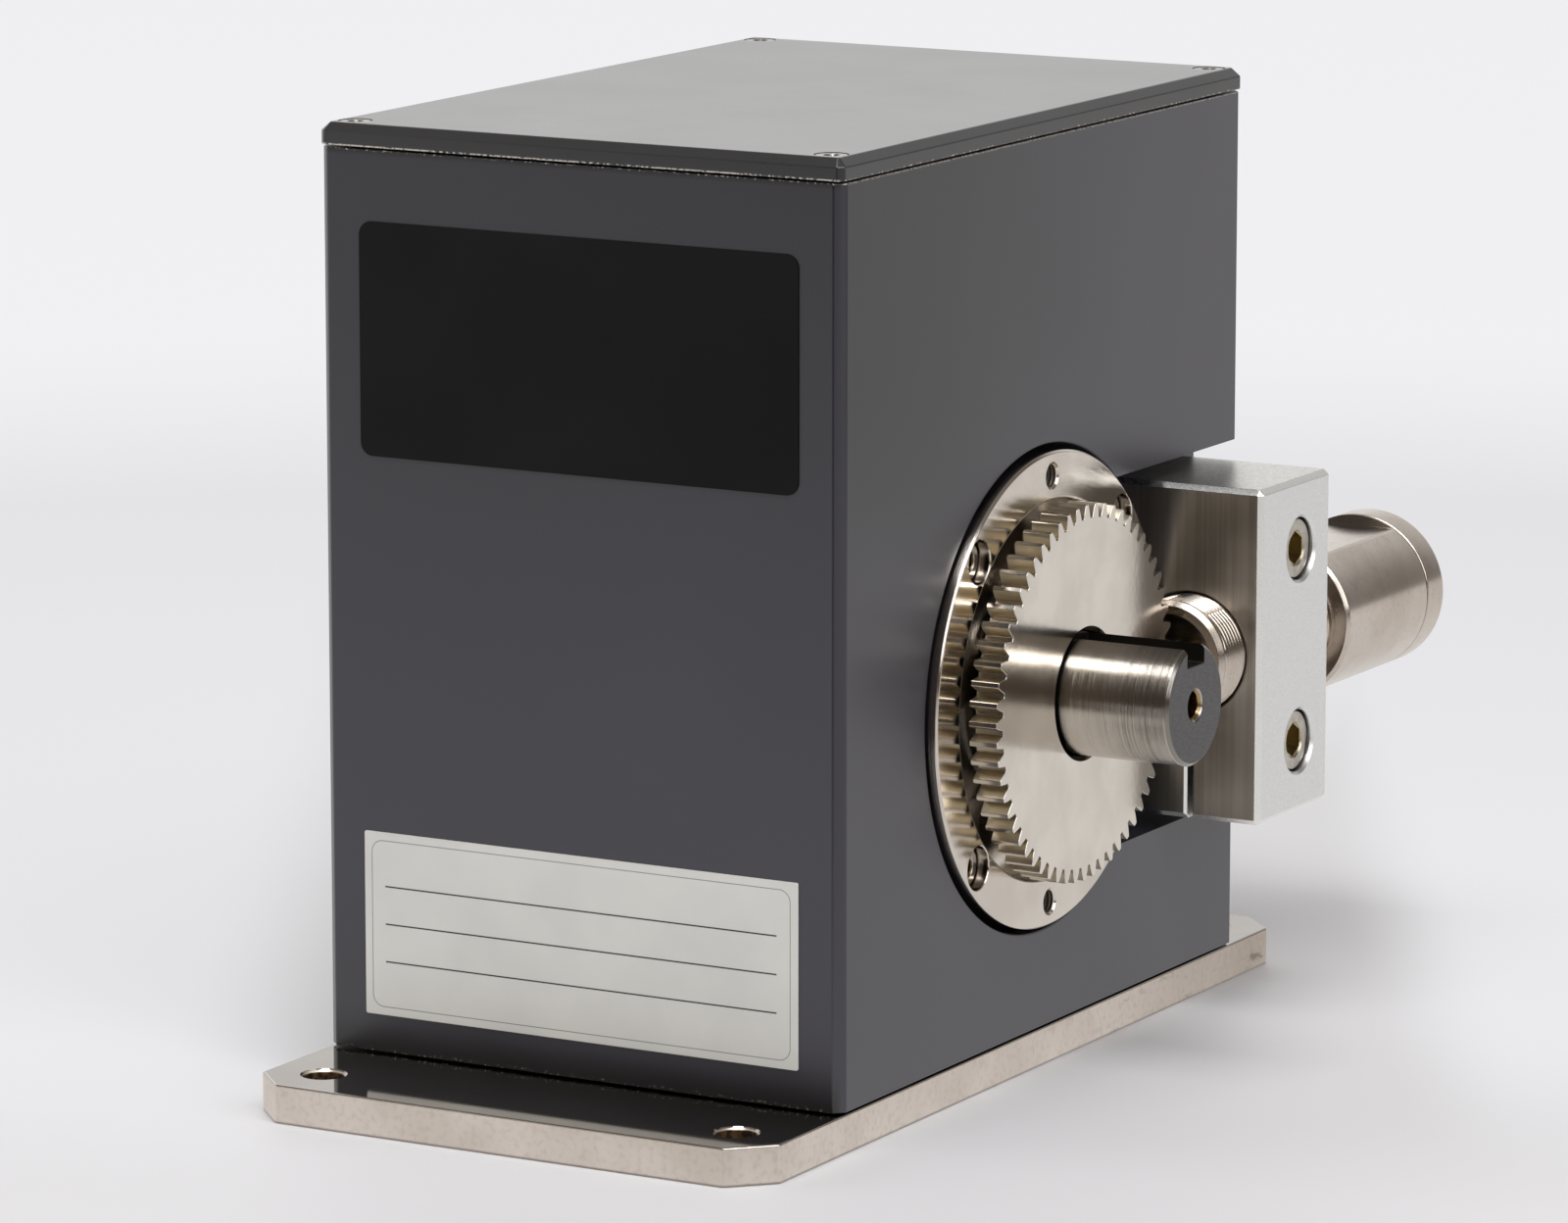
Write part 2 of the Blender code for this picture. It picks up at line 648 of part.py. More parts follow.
def make_base_plate():
    """A flat plate with cut corners, four feet holes and countersinks below."""
    outline = cut_corners((-HALF_WIDTH, -PLATE_FRONT), (HALF_WIDTH, PLATE_REAR), PLATE_CORNER)
    mesh = flat_mesh("base_plate", outline, 0.0, PLATE_THICKNESS)

    def top_edge(edge):
        return all(corner.co.z > PLATE_THICKNESS - WELD for corner in edge.verts)

    bevel_where(mesh, PLATE_EDGE, top_edge)
    plate = add_object("base_plate", mesh, PLATE_FINISH)
    holes = bmesh.new()
    for x, y in foot_places():
        place = Matrix.Translation((x, y, 0.0))
        add_rod(holes, place, -OVERCUT, PLATE_THICKNESS + OVERCUT, FOOT_HOLE_RADIUS)
    combine(plate, mesh_of(holes, "foot_holes"), "DIFFERENCE")
    mouths = bmesh.new()
    for x, y in foot_places():
        place = Matrix.Translation((x, y, 0.0))
        wide = FOOT_HOLE_RADIUS + FOOT_HOLE_CHAMFER
        low = PLATE_THICKNESS - FOOT_HOLE_CHAMFER
        high = PLATE_THICKNESS + FOOT_HOLE_CHAMFER
        add_rod(mouths, place, low, high, FOOT_HOLE_RADIUS, SMALL_SIDES, wide + FOOT_HOLE_CHAMFER)
    combine(plate, mesh_of(mouths, "foot_chamfers"), "DIFFERENCE")
    countersink(plate, BASE_SCREW, base_screw_places(), PLATE_THICKNESS)
    settle(plate)


# Housing


def cover_screw_places():
    """Screws at the four corners of the cover."""
    x = HALF_WIDTH - COVER_SCREW_INSET
    rows = (COVER_SCREW_INSET - BODY_FRONT, BODY_REAR - COVER_SCREW_INSET)
    return [Matrix.Translation((side * x, y, COVER_TOP - FLUSH_SUNK)) for y in rows for side in (-1, 1)]


def flange_screw_places(side):
    """Screws of one flange, at 45 degrees to the vertical."""
    place = Matrix.Translation((0.0, 0.0, AXIS_HEIGHT)) @ ALONG[side]
    top = DISC_FACE - HEAD_SUNK
    sites = on_circle(SCREW_CIRCLE, 4, math.pi / 4)
    return [shifted(place, site) @ Matrix.Translation((0.0, 0.0, top)) for site in sites]


def clamp_screw_places():
    """The two screws that run through the split block into the housing."""
    bore = BARREL_RADIUS + GAP
    half = bore + CLAMP_SCREW_SHARE * (BLOCK_HEIGHT / 2 - bore)
    top = BLOCK_OUT - CLAMP_HEAD_SUNK
    return [Matrix.Translation((top, CLAMP_SCREW_Y, AXIS_HEIGHT + dz)) @ ALONG["+X"] for dz in (half, -half)]


def bracket_screw_places():
    """One screw at each end of the pickup bracket."""
    top = BRACKET_TOP + GAP + BOARD_SCREW[1]
    return [Matrix.Translation((side * LEDGE_SCREW_X, 0.0, top)) for side in (-1, 1)]


def board_screw_places():
    """One screw on each lug of the board."""
    top = BOARD_BOTTOM + BOARD_THICKNESS + GAP + BOARD_SCREW[1]
    sites = [(x, y) for y in (-LUG_PLACE, LUG_PLACE) for x in (-LEDGE_SCREW_X, LEDGE_SCREW_X)]
    return [Matrix.Translation((x, y, top)) for x, y in sites]


def make_housing():
    """An open-topped box with bearing bosses, a side pocket, ledges and lugs."""
    outline = cut_corners((-HALF_WIDTH, -BODY_FRONT), (HALF_WIDTH, BODY_REAR), BODY_CHAMFER)
    housing = add_object("housing", flat_mesh("housing", outline, BODY_BOTTOM, BODY_TOP), HOUSING_FINISH)

    inner = cut_corners((-INNER_HALF, WALL - BODY_FRONT), (INNER_HALF, BODY_REAR - WALL), CAVITY_CORNER)
    cavity = flat_mesh("cavity", inner, BODY_BOTTOM + FLOOR, BODY_TOP + OVERCUT)
    combine(housing, cavity, "DIFFERENCE")

    bosses = bmesh.new()
    reach = INNER_HALF + WALL / 2
    add_rod(bosses, SHAFT_AXIS, BOSS_END, reach, BOSS_RADIUS, FINE_SIDES)
    add_rod(bosses, SHAFT_AXIS, -reach, -BOSS_END, BOSS_RADIUS, FINE_SIDES)
    combine(housing, mesh_of(bosses, "bearing_bosses"), "UNION")

    low_z = AXIS_HEIGHT - POCKET_HALF - POCKET_FLOOR
    high_z = AXIS_HEIGHT + POCKET_HALF + POCKET_FLOOR
    backing = box_mesh(
        "pocket_backing",
        (SEAT_FACE - POCKET_FLOOR, POCKET_Y, low_z),
        (reach, BODY_REAR - WALL / 2, high_z),
    )
    combine(housing, backing, "UNION")

    shelves = bmesh.new()
    for side in (-1, 1):
        near, far = sorted((side * (INNER_HALF - LEDGE_DEPTH), side * reach))
        add_box(shelves, (near, -LEDGE_HALF, LEDGE_TOP - LEDGE_THICKNESS), (far, LEDGE_HALF, LEDGE_TOP))
        for place in (-LUG_PLACE, LUG_PLACE):
            add_box(shelves, (near, place - LUG_HALF, LUG_BOTTOM), (far, place + LUG_HALF, LUG_TOP))
    combine(housing, mesh_of(shelves, "ledges_and_lugs"), "UNION")

    seats = bmesh.new()
    beyond = HALF_WIDTH + OVERCUT
    add_rod(seats, SHAFT_AXIS, SEAT_FACE, beyond, DISC_POCKET_RADIUS, FINE_SIDES)
    add_rod(seats, SHAFT_AXIS, -beyond, -SEAT_FACE, DISC_POCKET_RADIUS, FINE_SIDES)
    combine(housing, mesh_of(seats, "disc_seats"), "DIFFERENCE")
    bore = rod_mesh("bearing_bore", SHAFT_AXIS, -beyond, beyond, SPIGOT_RADIUS + GAP, FINE_SIDES)
    combine(housing, bore, "DIFFERENCE")

    pocket = box_mesh(
        "pocket",
        (SEAT_FACE, POCKET_Y, AXIS_HEIGHT - POCKET_HALF),
        (beyond, BODY_REAR + OVERCUT, AXIS_HEIGHT + POCKET_HALF),
    )
    combine(housing, pocket, "DIFFERENCE")

    holes = bmesh.new()
    for side in ("+X", "-X"):
        screw_holes(holes, FLANGE_SCREW, flange_screw_places(side), 0.0)
    screw_holes(holes, CLAMP_SCREW, clamp_screw_places(), -CLAMP_SCREW[1])
    screw_holes(holes, COVER_SCREW, cover_screw_places(), 0.0)
    screw_holes(holes, BASE_SCREW, base_screw_places(), 0.0)
    screw_holes(holes, BOARD_SCREW, bracket_screw_places() + board_screw_places(), 0.0)
    socket = Matrix.Translation((CONNECTOR_X, 0.0, CONNECTOR_Z)) @ ALONG["+Y"]
    add_rod(holes, socket, BODY_REAR - WALL - OVERCUT, BODY_REAR + OVERCUT, CONNECTOR_RADIUS + GAP)
    combine(housing, mesh_of(holes, "housing_holes"), "DIFFERENCE")
    settle(housing)


def make_top_cover():
    """A chamfered lid with a locating lip below."""
    outline = cut_corners((-HALF_WIDTH, -BODY_FRONT), (HALF_WIDTH, BODY_REAR), COVER_CORNER)
    mesh = flat_mesh("top_cover", outline, COVER_BOTTOM, COVER_TOP)

    def top_edge(edge):
        return all(corner.co.z > COVER_TOP - WELD for corner in edge.verts)

    bevel_where(mesh, COVER_CHAMFER, top_edge)
    cover = add_object("top_cover", mesh, COVER_FINISH)
    low = (GAP - INNER_HALF, WALL + GAP - BODY_FRONT)
    high = (INNER_HALF - GAP, BODY_REAR - WALL - GAP)
    outline = cut_corners(low, high, CAVITY_CORNER + GAP)
    lip = flat_mesh("cover_lip", outline, COVER_BOTTOM - COVER_LIP, COVER_TOP - COVER_CHAMFER)
    combine(cover, lip, "UNION")
    countersink(cover, COVER_SCREW, cover_screw_places(), COVER_THICKNESS)
    settle(cover)


# Bearing flanges


def flange_profile():
    """Section of a flange: proud disc, gear recess, bearing seat and spigot."""
    face, back = DISC_FACE, DISC_BACK
    return [
        (RECESS_RADIUS + DISC_BORE_CHAMFER, face),
        (DISC_RADIUS - DISC_CHAMFER, face),
        (DISC_RADIUS, face - DISC_CHAMFER),
        (DISC_RADIUS, back),
        (SPIGOT_RADIUS, back),
        (SPIGOT_RADIUS, SPIGOT_IN),
        (SEAT_RADIUS, SPIGOT_IN),
        (SEAT_RADIUS, LIP_FACE),
        (LIP_RADIUS, LIP_FACE),
        (LIP_RADIUS, FLANGE_FLOOR),
        (RECESS_RADIUS, FLANGE_FLOOR),
        (RECESS_RADIUS, face - DISC_BORE_CHAMFER),
    ]


def make_flange(name, side):
    """One bearing flange; the geared side is relieved for the pickup's barrel."""
    place = Matrix.Translation((0.0, 0.0, AXIS_HEIGHT)) @ ALONG[side]
    flange = turned(name, flange_profile(), FINE_SIDES, place, FLANGE_FINISH, closed=True)
    head, height, shank, _, _, _ = FLANGE_SCREW
    sinks = bmesh.new()
    holes = bmesh.new()
    for screw in flange_screw_places(side):
        add_rod(sinks, screw, -height - GAP, HEAD_SUNK + OVERCUT, head + GAP, SMALL_SIDES)
        add_rod(holes, screw, -DISC_THICKNESS - OVERCUT, 0.0, shank + GAP, FEW_SIDES)
    combine(flange, mesh_of(sinks, name + "_counterbores"), "DIFFERENCE")
    for site in on_circle(SCREW_CIRCLE, 2, 0.0):
        jack = shifted(place, site)
        add_rod(holes, jack, DISC_BACK - OVERCUT, DISC_FACE + OVERCUT, JACK_HOLE_RADIUS, HEAD_SIDES)
    combine(flange, mesh_of(holes, name + "_holes"), "DIFFERENCE")
    mouths = bmesh.new()
    for site in on_circle(SCREW_CIRCLE, 2, 0.0):
        low, high = DISC_FACE - JACK_HOLE_CHAMFER, DISC_FACE + JACK_HOLE_CHAMFER
        wide = JACK_HOLE_RADIUS + 2 * JACK_HOLE_CHAMFER
        add_rod(mouths, shifted(place, site), low, high, JACK_HOLE_RADIUS, HEAD_SIDES, wide)
    combine(flange, mesh_of(mouths, name + "_jack_chamfers"), "DIFFERENCE")
    if side == "+X":
        ends = (RECESS_RADIUS - OVERCUT, DISC_RADIUS + OVERCUT)
        relief = rod_mesh("barrel_relief", PICKUP_AXIS, *ends, BARREL_RADIUS + BARREL_RELIEF)
        combine(flange, relief, "DIFFERENCE")
    settle(flange)


def make_bearing(stem, side, rotor, cage_parent):
    """Rings and caged balls of one bearing."""
    place = Matrix.Translation((0.0, 0.0, AXIS_HEIGHT)) @ ALONG[side]
    middle = (BEARING_IN + BEARING_OUT) / 2
    ball_out = BALL_RADIUS + GAP
    groove_half = BALL_RADIUS * GROOVE_SHARE
    outer_floor = BALL_CIRCLE + ball_out
    inner_floor = BALL_CIRCLE - ball_out

    outer = collar(OUTER_RING_BORE, OUTER_RING_OUT, BEARING_IN, BEARING_OUT, RING_EDGE)
    outer_end = outer.pop()
    outer += [
        (OUTER_RING_BORE, middle - BALL_RADIUS),
        (outer_floor, middle - groove_half),
        (outer_floor, middle + groove_half),
        (OUTER_RING_BORE, middle + BALL_RADIUS),
        outer_end,
    ]
    settle(turned(stem + "_outer_ring", outer, ROUND_SIDES, place, BEARING_FINISH, closed=True))

    inner = [
        (INNER_RING_OUT, BEARING_OUT),
        (INNER_RING_OUT, middle + BALL_RADIUS),
        (inner_floor, middle + groove_half),
        (inner_floor, middle - groove_half),
        (INNER_RING_OUT, middle - BALL_RADIUS),
        (INNER_RING_OUT, BEARING_IN),
        (INNER_RING_BORE, BEARING_IN),
        (INNER_RING_BORE, BEARING_OUT),
    ]
    ring = turned(stem + "_inner_ring", inner, SMALL_SIDES, place, BEARING_FINISH, closed=True)
    settle(ring)
    attach(ring, rotor)

    half = CAGE_THICKNESS / 2
    low, high = middle - CAGE_WIDTH / 2, middle + CAGE_WIDTH / 2
    band = collar(BALL_CIRCLE - half, BALL_CIRCLE + half, low, high)
    cage = turned(stem + "_ball_cage", band, SMALL_SIDES, place, CAGE_FINISH, closed=True)
    balls = bmesh.new()
    for x, y in on_circle(BALL_CIRCLE, BALL_COUNT, math.pi / BALL_COUNT):
        spot = place @ Matrix.Translation((x, y, middle))
        bmesh.ops.create_uvsphere(
            balls, u_segments=SPHERE_SIDES, v_segments=SPHERE_RINGS, radius=BALL_RADIUS, matrix=spot
        )
    combine(cage, mesh_of(balls, stem + "_balls"), "UNION")
    settle(cage)
    attach(cage, cage_parent)


# Rotor


def attach(thing, parent):
    """Parent a piece to an empty without moving it."""
    world = thing.matrix_world.copy()
    thing.parent = parent
    thing.matrix_parent_inverse = parent.matrix_world.inverted()
    thing.matrix_world = world


def axis_empty(name, place):
    """An empty on a joint's axis, which carries the pieces that move together."""
    guide = bpy.data.objects.new(name, None)
    guide.matrix_world = place
    PARTS.objects.link(guide)
    bpy.context.view_layer.update()
    return guide


def shaft_half_profile():
    """Outer half of the shaft, from the bottom of the centre hole to the middle."""
    hole_end = SHAFT_END - CENTRE_HOLE_DEPTH
    fillet = TORSION_FILLET
    steps = 2
    arc = []
    for index in range(steps + 1):
        angle = math.pi / 2 * index / steps
        radius = TORSION_RADIUS + fillet * (1 - math.sin(angle))
        station = SHOULDER_IN - fillet * (1 - math.cos(angle))
        arc.append((radius, station))
    return [
        (0.0, hole_end - CENTRE_HOLE_RADIUS),
        (CENTRE_HOLE_RADIUS, hole_end),
        (CENTRE_HOLE_RADIUS, SHAFT_END - CENTRE_CHAMFER),
        (CENTRE_HOLE_RADIUS + CENTRE_CHAMFER, SHAFT_END),
        (SHAFT_RADIUS - SHAFT_CHAMFER, SHAFT_END),
        (SHAFT_RADIUS, SHAFT_END - SHAFT_CHAMFER),
        (SHAFT_RADIUS, SHOULDER),
        (SHOULDER_RADIUS, SHOULDER),
        (SHOULDER_RADIUS, SHOULDER_IN),
        *arc,
    ]


def make_shaft(rotor):
    """One shaft: two keyed ends, shoulders and the thin torsion section."""
    profile = mirrored(shaft_half_profile())
    shaft = turned("torsion_shaft", profile, ROUND_SIDES, SHAFT_AXIS, SHAFT_FINISH)
    floor = AXIS_HEIGHT + SHAFT_RADIUS - KEYWAY_DEPTH
    top = AXIS_HEIGHT + SHAFT_RADIUS + OVERCUT
    half = KEYWAY_WIDTH / 2
    slots = bmesh.new()
    add_box(slots, (KEYWAY_START, -half, floor), (SHAFT_END + OVERCUT, half, top))
    add_box(slots, (-SHAFT_END - OVERCUT, -half, floor), (REAR_KEYWAY_LENGTH - SHAFT_END, half, top))
    combine(shaft, mesh_of(slots, "keyways"), "DIFFERENCE")
    settle(shaft)
    attach(shaft, rotor)


def involute(radius, base_radius):
    """Involute function of the pressure angle at a radius."""
    angle = math.acos(min(1.0, base_radius / radius))
    return math.tan(angle) - angle


def gear_outline():
    """Involute teeth: three points up each flank, a flat tip and a flat root."""
    pitch_radius = GEAR_TEETH * GEAR_MODULE / 2
    base_radius = pitch_radius * math.cos(PRESSURE_ANGLE)
    root_radius = max(pitch_radius - DEDENDUM * GEAR_MODULE, base_radius)
    at_pitch = math.pi / (2 * GEAR_TEETH) + involute(pitch_radius, base_radius)
    radii = [root_radius, pitch_radius, GEAR_TIP_RADIUS]
    spread = [at_pitch - involute(radius, base_radius) for radius in radii]
    flank = list(zip(radii, spread))
    outline = []
    for tooth in range(GEAR_TEETH):
        middle = 2 * math.pi * tooth / GEAR_TEETH
        rising = [(radius, middle - angle) for radius, angle in flank]
        falling = [(radius, middle + angle) for radius, angle in reversed(flank)]
        for radius, angle in rising + falling:
            outline.append((radius * math.cos(angle), radius * math.sin(angle)))
    return outline


def make_speed_gear(rotor):
    """Sixty-tooth wheel with a rear hub and a relief round the shaft."""
    wheel = flat_mesh("speed_gear", gear_outline(), GEAR_BACK, GEAR_FRONT)
    gear = add_object("speed_gear", wheel, GEAR_FINISH)
    gear.matrix_world = SHAFT_AXIS
    hub = rod_mesh("gear_hub", SHAFT_AXIS, HUB_BACK, GEAR_BACK + GEAR_WIDTH / 2, HUB_RADIUS, ROUND_SIDES)
    combine(gear, hub, "UNION")
    ends = (HUB_BACK - OVERCUT, GEAR_FRONT + OVERCUT)
    bore = rod_mesh("gear_bore", SHAFT_AXIS, *ends, SHAFT_RADIUS + GAP, ROUND_SIDES)
    combine(gear, bore, "DIFFERENCE")
    low = GEAR_FRONT - GEAR_RELIEF_DEPTH
    wide = SHAFT_RADIUS + GEAR_RELIEF
    relief = rod_mesh("gear_relief", SHAFT_AXIS, low, GEAR_FRONT + OVERCUT, wide, ROUND_SIDES)
    combine(gear, relief, "DIFFERENCE")
    taps = bmesh.new()
    for place in grub_places():
        add_rod(taps, place, SHAFT_RADIUS, HUB_RADIUS + OVERCUT, GRUB_RADIUS + GAP, FEW_SIDES)
    combine(gear, mesh_of(taps, "grub_holes"), "DIFFERENCE")
    settle(gear)
    attach(gear, rotor)


def grub_places():
    """Two radial screws in the gear's hub, at right angles."""
    middle = Matrix.Translation(((HUB_BACK + GEAR_BACK) / 2, 0.0, AXIS_HEIGHT))
    return [middle @ Matrix.Rotation(angle, 4, "X") for angle in (math.pi / 2, math.pi)]


def make_grub_screws(rotor):
    """Socket grub screws that hold the gear's hub."""
    low = SHAFT_RADIUS + GAP
    high = HUB_RADIUS - GAP
    for number, place in enumerate(grub_places(), 1):
        name = f"gear_grub_screw_{number}"
        section = [(0.0, high), (GRUB_RADIUS, high), (GRUB_RADIUS, low), (0.0, low)]
        screw = turned(name, section, FEW_SIDES, place, STEEL)
        corner = GRUB_SOCKET / 2 / math.cos(math.pi / 6)
        socket = rod_mesh(name + "_socket", place, high - GRUB_SOCKET_DEPTH, high + OVERCUT, corner, 6)
        combine(screw, socket, "DIFFERENCE")
        settle(screw)
        attach(screw, rotor)


def make_twist_gear(name, side, rotor):
    """Square-toothed wheel that reads one end of the torsion section."""
    place = Matrix.Translation((0.0, 0.0, AXIS_HEIGHT)) @ ALONG[side]
    tip = TWIST_GEAR_RADIUS
    root = tip - TWIST_TOOTH_DEPTH
    step = 2 * math.pi / TWIST_GEAR_TEETH
    tooth_corners = (
        (root, -TWIST_FOOT_SHARE),
        (tip, -TWIST_TIP_SHARE),
        (tip, TWIST_TIP_SHARE),
        (root, TWIST_FOOT_SHARE),
    )
    outline = []
    for tooth in range(TWIST_GEAR_TEETH):
        for radius, part in tooth_corners:
            angle = step * (tooth + part)
            outline.append((radius * math.cos(angle), radius * math.sin(angle)))
    gear = add_object(name, flat_mesh(name, outline, TWIST_GEAR_IN, TWIST_GEAR_OUT), GEAR_FINISH)
    gear.matrix_world = place
    ends = (TWIST_GEAR_IN - OVERCUT, TWIST_GEAR_OUT + OVERCUT)
    bore = rod_mesh(name + "_bore", place, *ends, SHOULDER_RADIUS + GAP)
    combine(gear, bore, "DIFFERENCE")
    settle(gear)
    attach(gear, rotor)


def make_spacers_and_nut(rotor):
    """Spacers against the inner rings, and the slotted nut on the plain end."""
    for stem, side in (("front", "+X"), ("rear", "-X")):
        place = Matrix.Translation((0.0, 0.0, AXIS_HEIGHT)) @ ALONG[side]
        section = collar(SHAFT_RADIUS + GAP, SPACER_RADIUS, SPACER_IN, SPACER_OUT)
        spacer = turned(stem + "_spacer", section, SMALL_SIDES, place, SHAFT_FINISH, closed=True)
        settle(spacer)
        attach(spacer, rotor)
    place = Matrix.Translation((0.0, 0.0, AXIS_HEIGHT)) @ ALONG["-X"]
    outer = SHAFT_RADIUS + NUT_WALL
    section = collar(SHAFT_RADIUS + GAP, outer, NUT_IN, NUT_IN + NUT_WIDTH, RING_EDGE)
    nut = turned("lock_nut", section, SMALL_SIDES, place, STEEL, closed=True)
    slots = bmesh.new()
    for index in range(NUT_SLOTS):
        turn = Matrix.Rotation(2 * math.pi * index / NUT_SLOTS + math.pi / NUT_SLOTS, 4, "Z")
        corner = Vector((outer - NUT_SLOT_DEPTH, -NUT_SLOT_WIDTH / 2, NUT_IN - OVERCUT))
        far = Vector((outer + OVERCUT, NUT_SLOT_WIDTH / 2, NUT_IN + NUT_WIDTH + OVERCUT))
        slot = bmesh.new()
        add_box(slot, corner, far)
        slot.transform(place @ turn)
        piece = mesh_of(slot, "nut_slot")
        slots.from_mesh(piece)
        bpy.data.meshes.remove(piece)
    combine(nut, mesh_of(slots, "nut_slots"), "DIFFERENCE")
    settle(nut)
    attach(nut, rotor)


# Split block and pickup


def make_clamp_block():
    """Split clamp: bore for the barrel, slit below it and two counterbored screws."""
    low = (BLOCK_IN, BLOCK_FRONT, AXIS_HEIGHT - BLOCK_HEIGHT / 2)
    high = (BLOCK_OUT, BLOCK_REAR, AXIS_HEIGHT + BLOCK_HEIGHT / 2)
    mesh = box_mesh("clamp_block", low, high)
    bevel_where(mesh, BLOCK_CHAMFER, lambda edge: True)
    block = add_object("clamp_block", mesh, BLOCK_FINISH)
    ends = (BLOCK_FRONT - OVERCUT, BLOCK_REAR + OVERCUT)
    bore = rod_mesh("barrel_bore", PICKUP_AXIS, *ends, BARREL_RADIUS + GAP, ROUND_SIDES)
    combine(block, bore, "DIFFERENCE")
    half = SLIT_WIDTH / 2
    slit = box_mesh(
        "slit",
        (PICKUP_X - half, BLOCK_FRONT - OVERCUT, low[2] - OVERCUT),
        (PICKUP_X + half, BLOCK_REAR + OVERCUT, AXIS_HEIGHT - BARREL_RADIUS / 2),
    )
    combine(block, slit, "DIFFERENCE")
    head, height, shank, _, _, _ = CLAMP_SCREW
    sinks = bmesh.new()
    holes = bmesh.new()
    for place in clamp_screw_places():
        add_rod(sinks, place, -height - GAP, CLAMP_HEAD_SUNK + OVERCUT, head + GAP, SMALL_SIDES)
        add_rod(holes, place, BLOCK_IN - BLOCK_OUT - OVERCUT, 0.0, shank + GAP, FEW_SIDES)
    combine(block, mesh_of(sinks, "clamp_counterbores"), "DIFFERENCE")
    combine(block, mesh_of(holes, "clamp_holes"), "DIFFERENCE")
    mouths = bmesh.new()
    for place in clamp_screw_places():
        rim = head + GAP
        low = CLAMP_HEAD_SUNK - CLAMP_MOUTH_CHAMFER
        high = CLAMP_HEAD_SUNK + CLAMP_MOUTH_CHAMFER
        add_rod(mouths, place, low, high, rim, SMALL_SIDES, rim + 2 * CLAMP_MOUTH_CHAMFER)
    combine(block, mesh_of(mouths, "clamp_mouths"), "DIFFERENCE")
    settle(block)


def make_pickup(slider):
    """Threaded barrel and shell, pole piece, end cap and connector insert."""
    recess_radius = BARREL_RADIUS - TIP_RIM
    recess_floor = PICKUP_TIP + TIP_RECESS
    profile = [
        (0.0, SHELL_REAR),
        (SHELL_RADIUS - SHELL_CHAMFER / 2, SHELL_REAR),
        (SHELL_RADIUS, SHELL_REAR - SHELL_CHAMFER / 2),
        (SHELL_RADIUS, SHELL_FRONT + SHELL_CHAMFER),
        (SHELL_RADIUS - SHELL_CHAMFER, SHELL_FRONT),
        (BARREL_RADIUS, SHELL_FRONT),
        (BARREL_RADIUS, PICKUP_TIP + TIP_CHAMFER),
        (BARREL_RADIUS - TIP_CHAMFER, PICKUP_TIP),
        (recess_radius, PICKUP_TIP),
        (recess_radius, recess_floor),
        (0.0, recess_floor),
    ]
    body = turned("pickup_body", profile, ROUND_SIDES, PICKUP_AXIS, PICKUP_FINISH)
    flat = box_mesh(
        "shell_flat",
        (PICKUP_X - SHELL_RADIUS, SHELL_FRONT - OVERCUT, AXIS_HEIGHT + SHELL_RADIUS - SHELL_FLAT),
        (PICKUP_X + SHELL_RADIUS, SHELL_REAR - SHELL_CHAMFER, AXIS_HEIGHT + SHELL_RADIUS + OVERCUT),
    )
    combine(body, flat, "DIFFERENCE")
    settle(body)
    attach(body, slider)

    pole_top = recess_floor - GAP
    pole_tip = PICKUP_TIP + POLE_SUNK
    section = [
        (0.0, pole_top),
        (POLE_RADIUS + GAP, pole_top),
        (POLE_RADIUS, pole_top - TIP_CHAMFER),
        (POLE_RADIUS, pole_tip),
        (0.0, pole_tip),
    ]
    pole = turned("pickup_pole", section, SMALL_SIDES, PICKUP_AXIS, POLE_FINISH)
    settle(pole)
    attach(pole, slider)

    section = [
        (SHELL_RADIUS - CAP_CHAMFER, CAP_REAR),
        (SHELL_RADIUS, CAP_REAR - CAP_CHAMFER),
        (SHELL_RADIUS, CAP_FRONT),
        (CAP_BORE, CAP_FRONT),
        (CAP_BORE, CAP_REAR),
    ]
    cap = turned("pickup_cap", section, ROUND_SIDES, PICKUP_AXIS, PICKUP_FINISH, closed=True)
    settle(cap)
    attach(cap, slider)

    radius = CAP_BORE - GAP
    sizes = (INSERT_THICKNESS, PIN_COUNT, PIN_LENGTH)
    insert = pin_insert("pickup_insert", PICKUP_AXIS, radius, CAP_FRONT, *sizes)
    attach(insert, slider)


def pin_insert(name, place, radius, start, thickness, pins, length):
    """Round contact insert with its pins standing on the outer side."""
    end = start + thickness
    section = [(0.0, end), (radius, end), (radius, start), (0.0, start)]
    insert = turned(name, section, SMALL_SIDES, place, INSERT_FINISH)
    contacts = bmesh.new()
    for site in on_circle(PIN_CIRCLE, pins, math.pi / pins):
        add_rod(contacts, shifted(place, site), end - thickness / 2, end + length, PIN_RADIUS, SPHERE_SIDES)
    combine(insert, mesh_of(contacts, name + "_pins"), "UNION")
    return settle(insert)


